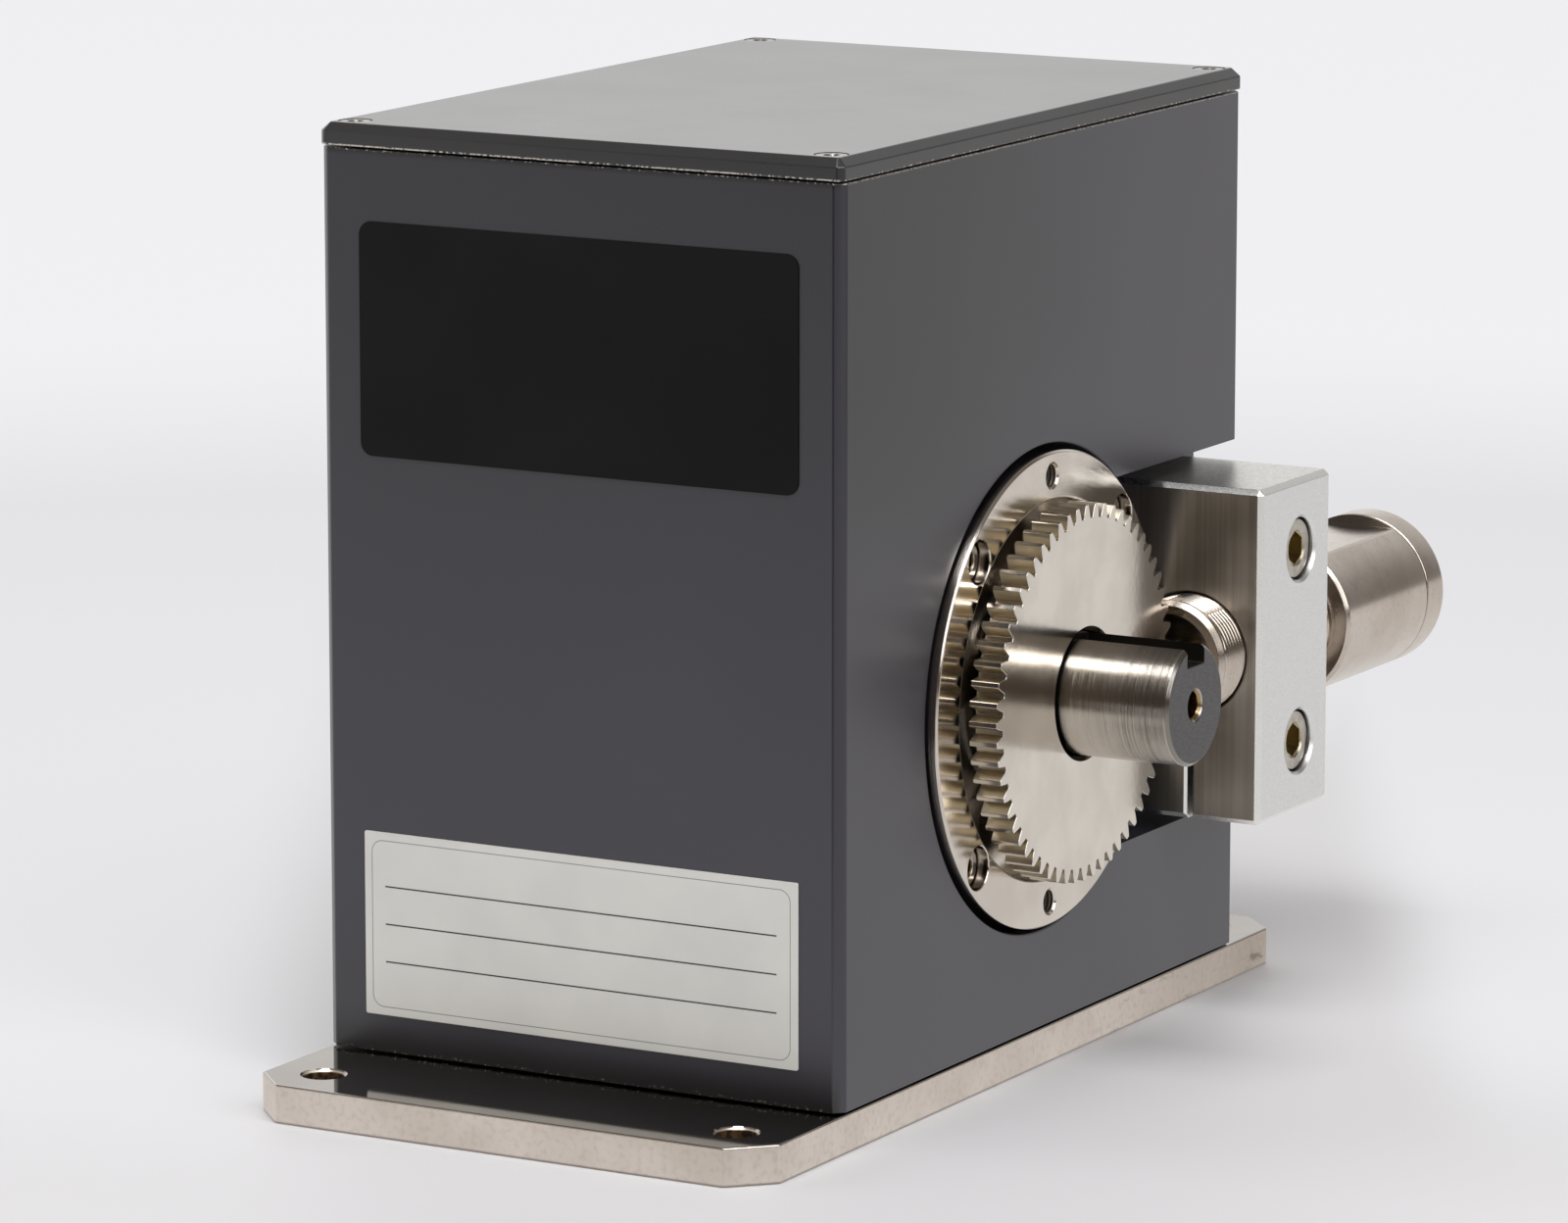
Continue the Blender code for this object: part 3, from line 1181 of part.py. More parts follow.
def make_signal_connector():
    """Receptacle in the rear wall: flanged shell, inner nut and contact insert."""
    place = Matrix.Translation((CONNECTOR_X, 0.0, CONNECTOR_Z)) @ ALONG["+Y"]
    bore = CONNECTOR_RADIUS - CONNECTOR_WALL
    flange_front = BODY_REAR + GAP
    flange_rear = flange_front + CONNECTOR_FLANGE_THICKNESS
    wall_inside = BODY_REAR - WALL
    tail = wall_inside - CONNECTOR_TAIL
    section = [
        (bore, flange_front + CONNECTOR_LENGTH),
        (CONNECTOR_RADIUS, flange_front + CONNECTOR_LENGTH),
        (CONNECTOR_RADIUS, flange_rear),
        (CONNECTOR_RADIUS + CONNECTOR_FLANGE, flange_rear),
        (CONNECTOR_RADIUS + CONNECTOR_FLANGE, flange_front),
        (CONNECTOR_RADIUS, flange_front),
        (CONNECTOR_RADIUS, tail),
        (bore, tail),
    ]
    settle(turned("signal_connector_shell", section, SMALL_SIDES, place, PICKUP_FINISH, closed=True))
    start = wall_inside - GAP - CONNECTOR_NUT_HEIGHT
    hexagon = on_circle(CONNECTOR_RADIUS + CONNECTOR_NUT_WALL, 6)
    nut = add_object(
        "signal_connector_nut",
        flat_mesh("signal_connector_nut", hexagon, start, wall_inside - GAP),
        STEEL,
    )
    nut.matrix_world = place
    ends = (start - OVERCUT, wall_inside + OVERCUT)
    hole = rod_mesh("connector_nut_hole", place, *ends, CONNECTOR_RADIUS + GAP)
    combine(nut, hole, "DIFFERENCE")
    settle(nut)
    sizes = (CONNECTOR_FLANGE_THICKNESS, CONNECTOR_PINS, CONNECTOR_PIN_LENGTH)
    pin_insert("signal_connector_insert", place, bore - GAP, flange_front, *sizes)


# Pieces inside the housing


def make_inner_pickups():
    """Bracket over the shaft, with one magnetic pickup above each twist gear."""
    half = INNER_HALF - GAP
    low = (-half, -BRACKET_HALF, BRACKET_BOTTOM)
    bar = box_mesh("pickup_bracket", low, (half, BRACKET_HALF, BRACKET_TOP))
    bracket = add_object("pickup_bracket", bar, BLOCK_FINISH)
    holes = bmesh.new()
    for side in (-1, 1):
        place = Matrix.Translation((side * TWIST_GEAR_MIDDLE, 0.0, 0.0))
        low, high = BRACKET_BOTTOM - OVERCUT, BRACKET_TOP + OVERCUT
        add_rod(holes, place, low, high, INNER_BODY_RADIUS + GAP)
    screw_holes(holes, BOARD_SCREW, bracket_screw_places(), 0.0, BRACKET_TOP - BRACKET_BOTTOM)
    combine(bracket, mesh_of(holes, "bracket_holes"), "DIFFERENCE")
    settle(bracket)
    section = [
        (0.0, INNER_TOP),
        (INNER_BODY_RADIUS, INNER_TOP),
        (INNER_BODY_RADIUS, INNER_COLLAR_TOP),
        (INNER_COLLAR_RADIUS, INNER_COLLAR_TOP),
        (INNER_COLLAR_RADIUS, INNER_SEAT),
        (INNER_BODY_RADIUS, INNER_SEAT),
        (INNER_BODY_RADIUS, INNER_TIP + INNER_TIP_LENGTH),
        (INNER_TIP_RADIUS, INNER_TIP + INNER_TIP_LENGTH),
        (INNER_TIP_RADIUS, INNER_TIP),
        (0.0, INNER_TIP),
    ]
    for stem, side in (("front", 1), ("rear", -1)):
        place = Matrix.Translation((side * TWIST_GEAR_MIDDLE, 0.0, 0.0))
        settle(turned(stem + "_twist_pickup", section, SMALL_SIDES, place, PICKUP_FINISH))


def make_circuit_board():
    """Signal board with its raised components."""
    half = INNER_HALF - 2 * GAP
    top = BOARD_BOTTOM + BOARD_THICKNESS
    sheet = box_mesh("circuit_board", (-half, -BOARD_HALF, BOARD_BOTTOM), (half, BOARD_HALF, top))
    board = add_object("circuit_board", sheet, BOARD_FINISH)
    parts = bmesh.new()
    low = top - CHIP_SINK
    for (x0, y0), (x1, y1), share in BOARD_CHIPS:
        add_box(parts, (x0 * MM, y0 * MM, low), (x1 * MM, y1 * MM, top + share * ROOM_ABOVE))
    combine(board, mesh_of(parts, "board_components"), "UNION")
    holes = bmesh.new()
    screw_holes(holes, BOARD_SCREW, board_screw_places(), 0.0)
    combine(board, mesh_of(holes, "board_holes"), "DIFFERENCE")
    settle(board)


def make_fasteners():
    """Every screw, each as its own object."""
    flange = socket_screw_mesh("flange_screw", FLANGE_SCREW, HEAD_SIDES)
    place_screws("front_flange_screw", flange, flange_screw_places("+X"))
    place_screws("rear_flange_screw", flange, flange_screw_places("-X"))
    clamp = socket_screw_mesh("clamp_screw", CLAMP_SCREW, HEAD_SIDES)
    place_screws("clamp_screw", clamp, clamp_screw_places())
    cover = socket_screw_mesh("cover_screw", COVER_SCREW, HEAD_SIDES, countersunk=True)
    place_screws("cover_screw", cover, cover_screw_places())
    base = socket_screw_mesh("base_screw", BASE_SCREW, HEAD_SIDES, countersunk=True)
    place_screws("base_screw", base, base_screw_places())
    board = socket_screw_mesh("board_screw", BOARD_SCREW, FEW_SIDES)
    place_screws("board_screw", board, board_screw_places())
    place_screws("bracket_screw", board, bracket_screw_places())


def build():
    """Make every piece of the sensor."""
    make_base_plate()
    make_housing()
    make_top_cover()
    make_flange("front_flange", "+X")
    make_flange("rear_flange", "-X")
    rotor = axis_empty("rotor_axis", SHAFT_AXIS)
    front_cage = axis_empty("front_cage_axis", SHAFT_AXIS)
    rear_cage = axis_empty("rear_cage_axis", SHAFT_AXIS)
    slider = axis_empty("pickup_axis", PICKUP_AXIS)
    make_bearing("front_bearing", "+X", rotor, front_cage)
    make_bearing("rear_bearing", "-X", rotor, rear_cage)
    make_shaft(rotor)
    make_speed_gear(rotor)
    make_grub_screws(rotor)
    make_twist_gear("front_twist_gear", "+X", rotor)
    make_twist_gear("rear_twist_gear", "-X", rotor)
    make_spacers_and_nut(rotor)
    make_clamp_block()
    make_pickup(slider)
    make_signal_connector()
    make_inner_pickups()
    make_circuit_board()
    make_fasteners()


build()
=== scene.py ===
import math

import bmesh
import bpy
from mathutils import Euler, Matrix, Vector


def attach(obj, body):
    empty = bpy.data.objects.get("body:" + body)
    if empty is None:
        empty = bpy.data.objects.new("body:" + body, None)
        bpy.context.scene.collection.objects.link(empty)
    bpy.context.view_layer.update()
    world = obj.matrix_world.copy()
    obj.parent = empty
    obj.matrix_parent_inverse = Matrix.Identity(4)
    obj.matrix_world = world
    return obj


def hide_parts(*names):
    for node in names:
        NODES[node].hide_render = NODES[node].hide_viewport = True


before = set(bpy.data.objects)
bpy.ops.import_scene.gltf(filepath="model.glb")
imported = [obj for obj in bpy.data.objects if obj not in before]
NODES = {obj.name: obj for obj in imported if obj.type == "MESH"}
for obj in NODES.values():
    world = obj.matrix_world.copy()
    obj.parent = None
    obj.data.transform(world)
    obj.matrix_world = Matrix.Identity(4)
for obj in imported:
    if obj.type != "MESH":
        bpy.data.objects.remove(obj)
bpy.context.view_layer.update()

# Lengths below are millimetres, and finished pieces are scaled to metres.
MM = 0.001

# Sides of a full turn
TURN = 128
HOLE = 64
SCREW = 48
SHARP = math.radians(32.0)

# The object's own sizes, as the CAD model has them
GAP = 0.3
AXIS_Z = 63.0
HALF_WIDTH = 47.6
BODY_FRONT = -67.5
BODY_REAR = 71.5
BODY_LOW = 6.6
BODY_HIGH = 153.3
WALL = 6.0
INNER_HALF = HALF_WIDTH - WALL
PLATE_TOP = 6.3
PLATE_FRONT = -93.4
PLATE_REAR = 91.0
FOOT_X = 38.0
FOOT_FRONT = -83.7
FOOT_REAR = 81.3
FOOT_RADIUS = 3.3
COVER_LOW = 153.6
COVER_TOP = 157.2
DISC_FACE = 49.1
DISC_RADIUS = 39.2
RECESS_RADIUS = 31.2
SCREW_CIRCLE = 35.2
SEAT_FACE = 39.0
TAP_RADIUS = 1.9
SHAFT_END = 75.25
SHAFT_RADIUS = 10.0
KEY_FLOOR = 69.5
KEY_HALF = 3.0
TEETH = 60
GEAR_BACK = 50.5
GEAR_FACE = 55.5
GEAR_TIP = 31.0
GEAR_ROOT = 28.75
RELIEF_RADIUS = 10.95
PICKUP_X = 54.5
BARREL_RADIUS = 10.0
SHELL_RADIUS = 13.5
BLOCK_LOW = (39.3, 39.7, 34.7)
BLOCK_HIGH = (67.5, 66.0, 91.3)
CLAMP_HEAD_X = 66.6
CLAMP_Y = 54.8
CLAMP_Z = (79.35, 46.65)
CONNECTOR_X = -14.0
CONNECTOR_Z = 118.0
LABEL_HALF = 40.0
BLACK_LABEL_Z = (104.2, 141.9)
SILVER_LABEL_Z = (12.85, 43.0)

# How far a cutting tool runs past a face, and the pitch of both threads
OVER = 3.0
PITCH = 1.0

# Screws: head radius and height, shank radius and length, socket across flats and depth
FLANGE_SCREW = (3.3, 4.0, 2.0, 8.5, 3.0, 2.2)
CLAMP_SCREW = (5.0, 6.0, 3.0, 25.0, 5.0, 3.2)
COVER_SCREW = (2.6, 1.5, 1.5, 9.0, 2.0, 1.1)
BASE_SCREW = (4.6, 2.5, 2.5, 9.5, 3.0, 1.6)

ALONG = {
    "+X": Matrix.Rotation(math.pi / 2, 4, "Y"),
    "-X": Matrix.Rotation(-math.pi / 2, 4, "Y"),
    "+Y": Matrix.Rotation(-math.pi / 2, 4, "X"),
    "-Y": Matrix.Rotation(math.pi / 2, 4, "X"),
    "+Z": Matrix.Identity(4),
    "-Z": Matrix.Rotation(math.pi, 4, "X"),
}


def shift(x, y, z):
    """A plain move."""
    return Matrix.Translation((x, y, z))


def shaft_axis(side="+X"):
    """Frame whose Z runs out along the shaft on one side."""
    return shift(0, 0, AXIS_Z) @ ALONG[side]


PICKUP_AXIS = shift(PICKUP_X, 0, AXIS_Z) @ ALONG["+Y"]
CONNECTOR_AXIS = shift(CONNECTOR_X, 0, CONNECTOR_Z) @ ALONG["+Y"]


# Meshes


def mesh_of(bm):
    """Turn a bmesh into a mesh with its faces outwards."""
    bmesh.ops.recalc_face_normals(bm, faces=bm.faces[:])
    mesh = bpy.data.meshes.new("work")
    bm.to_mesh(mesh)
    bm.free()
    return mesh


def link(mesh, name="work"):
    """Show a mesh as an object at the origin."""
    thing = bpy.data.objects.new(name, mesh)
    bpy.context.scene.collection.objects.link(thing)
    return thing


def baked(thing):
    """Mesh of an object with its modifiers applied; the object is removed."""
    graph = bpy.context.evaluated_depsgraph_get()
    shape = thing.evaluated_get(graph)
    mesh = bpy.data.meshes.new_from_object(shape, preserve_all_data_layers=True, depsgraph=graph)
    bpy.data.objects.remove(thing)
    return mesh


def combine(mesh, tool, operation="DIFFERENCE"):
    """Cut a mesh with a tool, or join the tool to it."""
    body = link(mesh)
    cutter = link(tool, "cutter")
    modifier = body.modifiers.new("combine", "BOOLEAN")
    modifier.operation = operation
    modifier.solver = "EXACT"
    modifier.object = cutter
    made = baked(body)
    bpy.data.objects.remove(cutter)
    return made


def joined(meshes):
    """Several meshes as one, their faces as they are."""
    bm = bmesh.new()
    for mesh in meshes:
        bm.from_mesh(mesh)
    made = bpy.data.meshes.new("joined")
    bm.to_mesh(made)
    bm.free()
    return made


def lathe(profile, sides=TURN, place=None, closed=False):
    """Turn a profile of (radius, station) about local Z."""
    bm = bmesh.new()
    rings = []
    for radius, station in profile:
        count = 1 if radius < 1e-6 else sides
        ring = []
        for index in range(count):
            angle = 2 * math.pi * index / count
            ring.append(bm.verts.new((radius * math.cos(angle), radius * math.sin(angle), station)))
        rings.append(ring)
    following = rings[1:] + rings[:1] if closed else rings[1:]
    for low, high in zip(rings, following):
        for index in range(sides):
            after = index + 1
            corners = [
                low[index % len(low)],
                low[after % len(low)],
                high[after % len(high)],
                high[index % len(high)],
            ]
            unique = list(dict.fromkeys(corners))
            if len(unique) > 2:
                bm.faces.new(unique)
    if place is not None:
        bm.transform(place)
    return mesh_of(bm)


def rod(radius, low, high, place=None, sides=TURN):
    """A plain cylinder between two stations, used as a tool or a boss."""
    return lathe([(0, low), (radius, low), (radius, high), (0, high)], sides, place)


def eased(profile, size, closed=False, steps=3):
    """Round the corners of a profile a little."""
    points = [Vector((*point, 0.0)) for point in profile]
    count = len(points)
    made = []
    for index, point in enumerate(points):
        last = not closed and index in (0, count - 1)
        before = points[index - 1] - point
        after = points[(index + 1) % count] - point
        if last or before.angle(-after, 0.0) < 0.05:
            made.append((point.x, point.y))
            continue
        reach = min(size, before.length * 0.42, after.length * 0.42)
        start = point + before.normalized() * reach
        end = point + after.normalized() * reach
        for step in range(steps + 1):
            t = step / steps
            spot = start * (1 - t) ** 2 + point * 2 * t * (1 - t) + end * t**2
            made.append((spot.x, spot.y))
    return made


def prism(outline, low, high, place=None):
    """Extrude an outline from one height to another."""
    bm = bmesh.new()
    corners = [bm.verts.new((x, y, low)) for x, y in outline]
    face = bm.faces.new(corners)
    raised = bmesh.ops.extrude_face_region(bm, geom=[face])
    up = [item for item in raised["geom"] if isinstance(item, bmesh.types.BMVert)]
    bmesh.ops.translate(bm, verts=up, vec=(0, 0, high - low))
    if place is not None:
        bm.transform(place)
    return mesh_of(bm)


def block(low, high):
    """A plain box between two corners, used as a tool."""
    x0, y0, z0 = low
    x1, y1, z1 = high
    return prism([(x0, y0), (x1, y0), (x1, y1), (x0, y1)], z0, z1)


def cut_corners(low, high, cut):
    """Outline of a rectangle with its corners cut at 45 degrees."""
    x0, y0 = low
    x1, y1 = high
    return [
        (x0 + cut, y0),
        (x1 - cut, y0),
        (x1, y0 + cut),
        (x1, y1 - cut),
        (x1 - cut, y1),
        (x0 + cut, y1),
        (x0, y1 - cut),
        (x0, y0 + cut),
    ]


def bevel_where(mesh, width, chosen):
    """Chamfer the edges that a test picks."""
    bm = bmesh.new()
    bm.from_mesh(mesh)
    edges = [edge for edge in bm.edges if chosen(edge)]
    bmesh.ops.bevel(bm, geom=edges, offset=width, segments=1, profile=0.5, affect="EDGES")
    return mesh_of(bm)


def soften(mesh, width, segments=2, angle=30.0):
    """Break every sharp edge by a small round."""
    thing = link(mesh)
    modifier = thing.modifiers.new("edges", "BEVEL")
    modifier.width = width
    modifier.segments = segments
    modifier.limit_method = "ANGLE"
    modifier.angle_limit = math.radians(angle)
    modifier.use_clamp_overlap = True
    return baked(thing)


def drill(place, bottom, top, radius, mouth=0.0, sides=HOLE):
    """Tool for a round hole, its mouth at station top flared at 45 degrees."""
    wide = radius + mouth
    profile = [(0, bottom), (radius, bottom), (radius, top - mouth), (wide, top)]
    if mouth:
        profile.append((wide + OVER, top + OVER))
    else:
        profile = [*profile[:2], (radius, top + OVER)]
    profile.append((0, top + OVER))
    return lathe(profile, sides, place)


def drill_all(mesh, tools):
    """Cut with several tools that don't touch each other."""
    return combine(mesh, joined(tools))


def countersink(mesh, sizes, places):
    """Cut through holes with a conical seat for each countersunk head."""
    head, height, shank = sizes[:3]
    hole = shank + GAP
    mouth = head + 0.15
    slope = (head - shank) / (height - 0.25)
    rim = (mouth - hole) / slope - height
    profile = [(0, -12.0), (hole, -12.0), (hole, -height), (mouth, rim), (mouth, OVER), (0, OVER)]
    return drill_all(mesh, [lathe(profile, HOLE, place) for place in places])


def on_circle(radius, count, first=0.0):
    """Points spread evenly round a circle."""
    angles = [first + 2 * math.pi * index / count for index in range(count)]
    return [(radius * math.cos(angle), radius * math.sin(angle)) for angle in angles]


# Node trees


class Wire:
    """One output socket. Arithmetic on it adds Math nodes."""

    def __init__(self, net, socket):
        self.net = net
        self.socket = socket

    def __add__(self, other):
        return self.net.math("ADD", self, other)

    def __sub__(self, other):
        return self.net.math("SUBTRACT", self, other)

    def __rsub__(self, other):
        return self.net.math("SUBTRACT", other, self)

    def __mul__(self, other):
        return self.net.math("MULTIPLY", self, other)

    def __truediv__(self, other):
        return self.net.math("DIVIDE", self, other)

    def __abs__(self):
        return self.net.math("ABSOLUTE", self)

    __radd__ = __add__
    __rmul__ = __mul__

    def ramp(self, start, end):
        """Smooth step from 0 at start to 1 at end."""
        if start > end:
            return 1.0 - self.ramp(end, start)
        values = {"Value": self, "From Min": start, "From Max": end}
        return self.net.node("ShaderNodeMapRange", values, interpolation_type="SMOOTHSTEP")

    def near(self, value, reach):
        """1 where the wire equals a value, falling to 0 at a distance."""
        return abs(self - value).ramp(reach, reach * 0.2)

    def other(self, output):
        """Another output of the same node."""
        return Wire(self.net, self.socket.node.outputs[output])


class Net:
    """A node tree with one method that adds any node."""

    def __init__(self, tree):
        self.tree = tree

    def node(self, kind, inputs=(), output=0, **settings):
        made = self.tree.nodes.new(kind)
        for name, value in settings.items():
            setattr(made, name, value)
        pairs = inputs.items() if isinstance(inputs, dict) else enumerate(inputs)
        for place, value in pairs:
            self.feed(made.inputs[place], value)
        return Wire(self, made.outputs[output])

    def feed(self, socket, value):
        """Link a wire to a socket, or set the socket's own value."""
        if isinstance(value, Wire):
            self.tree.links.new(value.socket, socket)
        else:
            socket.default_value = value

    def math(self, operation, *values):
        return self.node("ShaderNodeMath", values, operation=operation)

    def largest(self, first, *others):
        """The greatest of several wires or numbers."""
        for other in others:
            first = self.math("MAXIMUM", first, other)
        return first

    def length(self, across, up):
        """Length of the diagonal between two wires."""
        return self.math("SQRT", across * across + up * up)

    def clip(self, wire):
        """A wire held between 0 and 1."""
        return self.math("MINIMUM", self.math("MAXIMUM", wire, 0.0), 1.0)

    def mix(self, share, first, second):
        """One colour over another."""
        values = {"Factor": share, 6: first, 7: second}
        return self.node("ShaderNodeMix", values, 2, data_type="RGBA", clamp_factor=True)

    def blend(self, share, first, second):
        """One number over another."""
        return self.node("ShaderNodeMix", {"Factor": share, 2: first, 3: second}, clamp_factor=True)


def rgb(red, green, blue):
    """A colour given as the display shows it, 0 to 255."""
    shown = (value / 255 for value in (red, green, blue))
    linear = [((v + 0.055) / 1.055) ** 2.4 if v > 0.04045 else v / 12.92 for v in shown]
    return (*linear, 1.0)


class Finish(Net):
    """A surface finish: a Principled shader and what varies over it."""

    def __init__(self, name, metallic=0.0, **constants):
        self.material = bpy.data.materials.new(name)
        self.material.use_nodes = True
        super().__init__(self.material.node_tree)
        self.shader = self.tree.nodes["Principled BSDF"]
        self.shader.inputs["Metallic"].default_value = metallic
        for socket, value in constants.items():
            self.shader.inputs[socket.replace("_", " ")].default_value = value
        metres = self.node("ShaderNodeTexCoord", output="Object")
        self.spot = self.node("ShaderNodeVectorMath", {0: metres, "Scale": 1 / MM}, operation="SCALE")
        self.x = self.node("ShaderNodeSeparateXYZ", [self.spot])
        self.y = self.x.other(1)
        self.z = self.x.other(2)

    def noise(self, scale, detail=2.0, stretch=None, at=None, roughness=0.5):
        """Cloudy noise between 0 and 1, with the scale in waves a millimetre."""
        where = self.spot if at is None else at
        if stretch:
            where = self.node("ShaderNodeVectorMath", [where, stretch], operation="MULTIPLY")
        values = {"Vector": where, "Scale": scale, "Detail": detail, "Roughness": roughness}
        return self.node("ShaderNodeTexNoise", values)

    def vector(self, x, y, z):
        return self.node("ShaderNodeCombineXYZ", [x, y, z])

    def bump(self, height, depth, strength):
        """A bump whose height is in millimetres."""
        values = {"Strength": strength, "Distance": depth * MM, "Height": height}
        return self.node("ShaderNodeBump", values)

    def done(self, colour, roughness, normal=None, **others):
        """Feed the shader and return the material."""
        self.feed(self.shader.inputs["Base Color"], colour)
        self.feed(self.shader.inputs["Roughness"], roughness)
        if normal is not None:
            self.feed(self.shader.inputs["Normal"], normal)
        for socket, value in others.items():
            self.feed(self.shader.inputs[socket.replace("_", " ")], value)
        return self.material


# Finishes


def nickel_plate():
    """Bright plated sheet: a near mirror on top, mottled satin edges darker towards the rear, painted shade
    along the floor, and foot holes darkened by painted shade with painted glints.
    """
    f = Finish("nickel_plate", 1.0)
    cloud = f.noise(0.06, 3.0)
    fine = f.noise(0.9, 3.0)
    stain = f.noise(0.10, 4.0, (1.0, 1.0, 2.6), roughness=0.65)
    lines = f.noise(1.0, 2.0, (6.0, 0.12, 6.0))
    top = f.z.ramp(PLATE_TOP - 0.3, PLATE_TOP - 0.02)
    satin = f.mix(cloud.ramp(0.35, 0.7), rgb(226, 217, 209), rgb(212, 202, 193))
    satin = f.mix(fine.ramp(0.45, 0.75) * 0.3, satin, rgb(182, 170, 157))
    # Stain blotches towards the rear, and the satin sides darker towards the rear
    stains_and_darker_rear = f.y.ramp(-10.0, 80.0) * 0.5 + stain.ramp(0.58, 0.72) * f.y.ramp(-30.0, 50.0) * 0.7
    satin = f.mix(stains_and_darker_rear, satin, rgb(140, 126, 112))
    colour = f.mix(top, satin, f.mix(cloud.ramp(0.35, 0.7), rgb(176, 170, 164), rgb(166, 159, 152)))
    # Painted shade: a dark line along the bottom half millimetre, where the plate meets the floor
    edge = f.z.ramp(0.5, 0.1)
    colour = f.mix(edge * 0.7, colour, rgb(92, 80, 68))
    aside = abs(f.x) - FOOT_X
    ahead = abs(f.y - (FOOT_REAR + FOOT_FRONT) / 2) - (FOOT_REAR - FOOT_FRONT) / 2
    bore = f.length(aside, ahead).ramp(FOOT_RADIUS + 0.16, FOOT_RADIUS + 0.06)
    bore = bore * f.z.ramp(PLATE_TOP - 0.32, PLATE_TOP - 0.5)
    # Painted shade inside the foot holes: dark brown, with painted golden glints
    painted_bore_shade = f.mix(fine.ramp(0.4, 0.6), rgb(58, 44, 32), rgb(150, 120, 78))
    colour = f.mix(bore * 0.9, colour, painted_bore_shade)
    rough = f.blend(top, 0.30 + fine * 0.14, 0.03 + cloud * 0.03 + lines * 0.02)
    return f.done(colour, rough, f.bump(lines * 0.15 + fine * (1.0 - top), 0.010, 0.45))


def paint(name, shown, chips, gloss, painted_top_sheen=None, shade=None):
    """Satin paint with a faint orange skin, haze, chipped edges, and a painted sheen on the top face or
    painted shade where given.
    """
    f = Finish(name, 0.0, Specular_IOR_Level=0.75)
    haze = f.noise(0.012, 2.0)
    skin = f.noise(0.8, 2.0)
    grit = f.noise(6.0, 1.0)
    smear = f.noise(0.05, 4.0, (1.0, 1.0, 0.4))
    dark = tuple(value * 0.93 for value in shown[:3])
    light = tuple(value * 1.08 for value in shown[:3])
    colour = f.mix(haze.ramp(0.35, 0.65), (*dark, 1.0), (*light, 1.0))
    # Painted sheen: the top face lighter, standing in for its glancing reflection of the light above
    if painted_top_sheen is not None:
        painted_sheen = f.z.ramp(COVER_TOP - 0.15, COVER_TOP - 0.02) * (0.75 + f.noise(0.04, 4.0) * 0.5)
        colour = f.mix(painted_sheen, colour, painted_top_sheen)
    if shade is not None:
        colour = f.mix(shade(f), colour, rgb(8, 8, 9))
    speck = f.noise(1.6, 3.0, roughness=0.65)
    worn = chips(f, speck)
    colour = f.mix(worn, colour, rgb(214, 210, 202))
    rough = f.blend(worn, gloss + smear * 0.07 + grit * 0.03, 0.34)
    height = skin * 0.8 + grit * 0.12 - worn * 1.5
    return f.done(colour, rough, f.bump(height, 0.014, 0.45), Metallic=worn)


def housing_chips(f, speck):
    """Bare spots along the bottom of the front face and its upper edges."""
    front = f.y.ramp(BODY_FRONT + 1.2, BODY_FRONT + 0.4)
    foot = f.z.ramp(BODY_LOW + 0.9, BODY_LOW + 0.1) * speck.ramp(0.57, 0.63) * 0.6
    brim = f.z.ramp(BODY_HIGH - 0.35, BODY_HIGH - 0.1) * speck.ramp(0.56, 0.62)
    side = f.x.ramp(HALF_WIDTH - 0.8, HALF_WIDTH - 0.2) * f.z.ramp(BODY_HIGH - 0.35, BODY_HIGH - 0.1)
    return f.largest(foot * front, brim * front, side * speck.ramp(0.44, 0.52) * 0.8)


def housing_shade(f):
    """Painted shade at the seam and the foot, and painted shading that changes slowly over the faces."""
    front = f.y.ramp(BODY_FRONT + 1.2, BODY_FRONT + 0.4)
    seam = f.z.ramp(BODY_HIGH - 1.5, BODY_HIGH - 0.3) * 0.85
    foot = f.z.ramp(15.0, BODY_LOW) * 0.9
    upper = f.z.ramp(60.0, BODY_HIGH) * 0.35
    right = f.x.ramp(HALF_WIDTH - 0.3, HALF_WIDTH - 0.05) * f.y.ramp(BODY_REAR, BODY_FRONT)
    right = right * (0.15 + f.z.ramp(75.0, 125.0) * 0.7)
    ahead = f.largest(seam, foot, upper) * front
    return f.largest(ahead, right)


def cover_chips(f, speck):
    """A bright broken hairline along the front of the cover's lower edge."""
    front = f.y.ramp(BODY_FRONT + 0.8, BODY_FRONT + 0.2)
    patches = f.noise(0.08, 2.0, (1.0, 1.0, 0.0))
    low = f.z.ramp(COVER_LOW + 0.38, COVER_LOW + 0.22)
    line = low * front * (speck + patches * 0.4).ramp(0.66, 0.72)
    corner = f.x.ramp(HALF_WIDTH - 0.9, HALF_WIDTH - 0.4) * low * speck.ramp(0.55, 0.6)
    return f.largest(line, corner)


def turned_metal(name, dark, light, rough, grooves, tint, dimple=0.0):
    """Turned metal: fine grooves round the shaft's axis spread what it mirrors, over uneven colour."""
    f = Finish(name, 1.0)
    distance = about_shaft(f)
    spot = f.vector(distance, f.x, 0.0)
    rings = f.noise(3.2, 4.0, at=spot)
    cloud = f.noise(0.09, 3.0)
    fine = f.noise(1.4, 3.0)
    colour = f.mix(cloud.ramp(0.3, 0.7), dark, light)
    colour = f.mix(fine.ramp(0.55, 0.8) * 0.25, colour, dark)
    low, high = rough
    gloss = low + (rings * 0.6 + fine * 0.4) * (high - low)
    height = f.noise(24.0, 1.0, at=spot) * grooves + rings * 0.08 + fine * 0.10
    colour, gloss, height = tint(f, distance, colour, gloss, height)
    if dimple:
        height = height + f.noise(0.9, 2.0, roughness=0.4) * dimple
    return f.done(colour, gloss, f.bump(height, 0.010, 0.6))


def about_shaft(f):
    """Distance from the shaft's axis."""
    return f.length(f.y, f.z - AXIS_Z)


def about_pickup(f):
    """Distance from the pickup's axis."""
    return f.length(f.x - PICKUP_X, f.z - AXIS_Z)


def about_connector(f):
    """Distance from the signal connector's axis."""
    return f.length(f.x - CONNECTOR_X, f.z - CONNECTOR_Z)


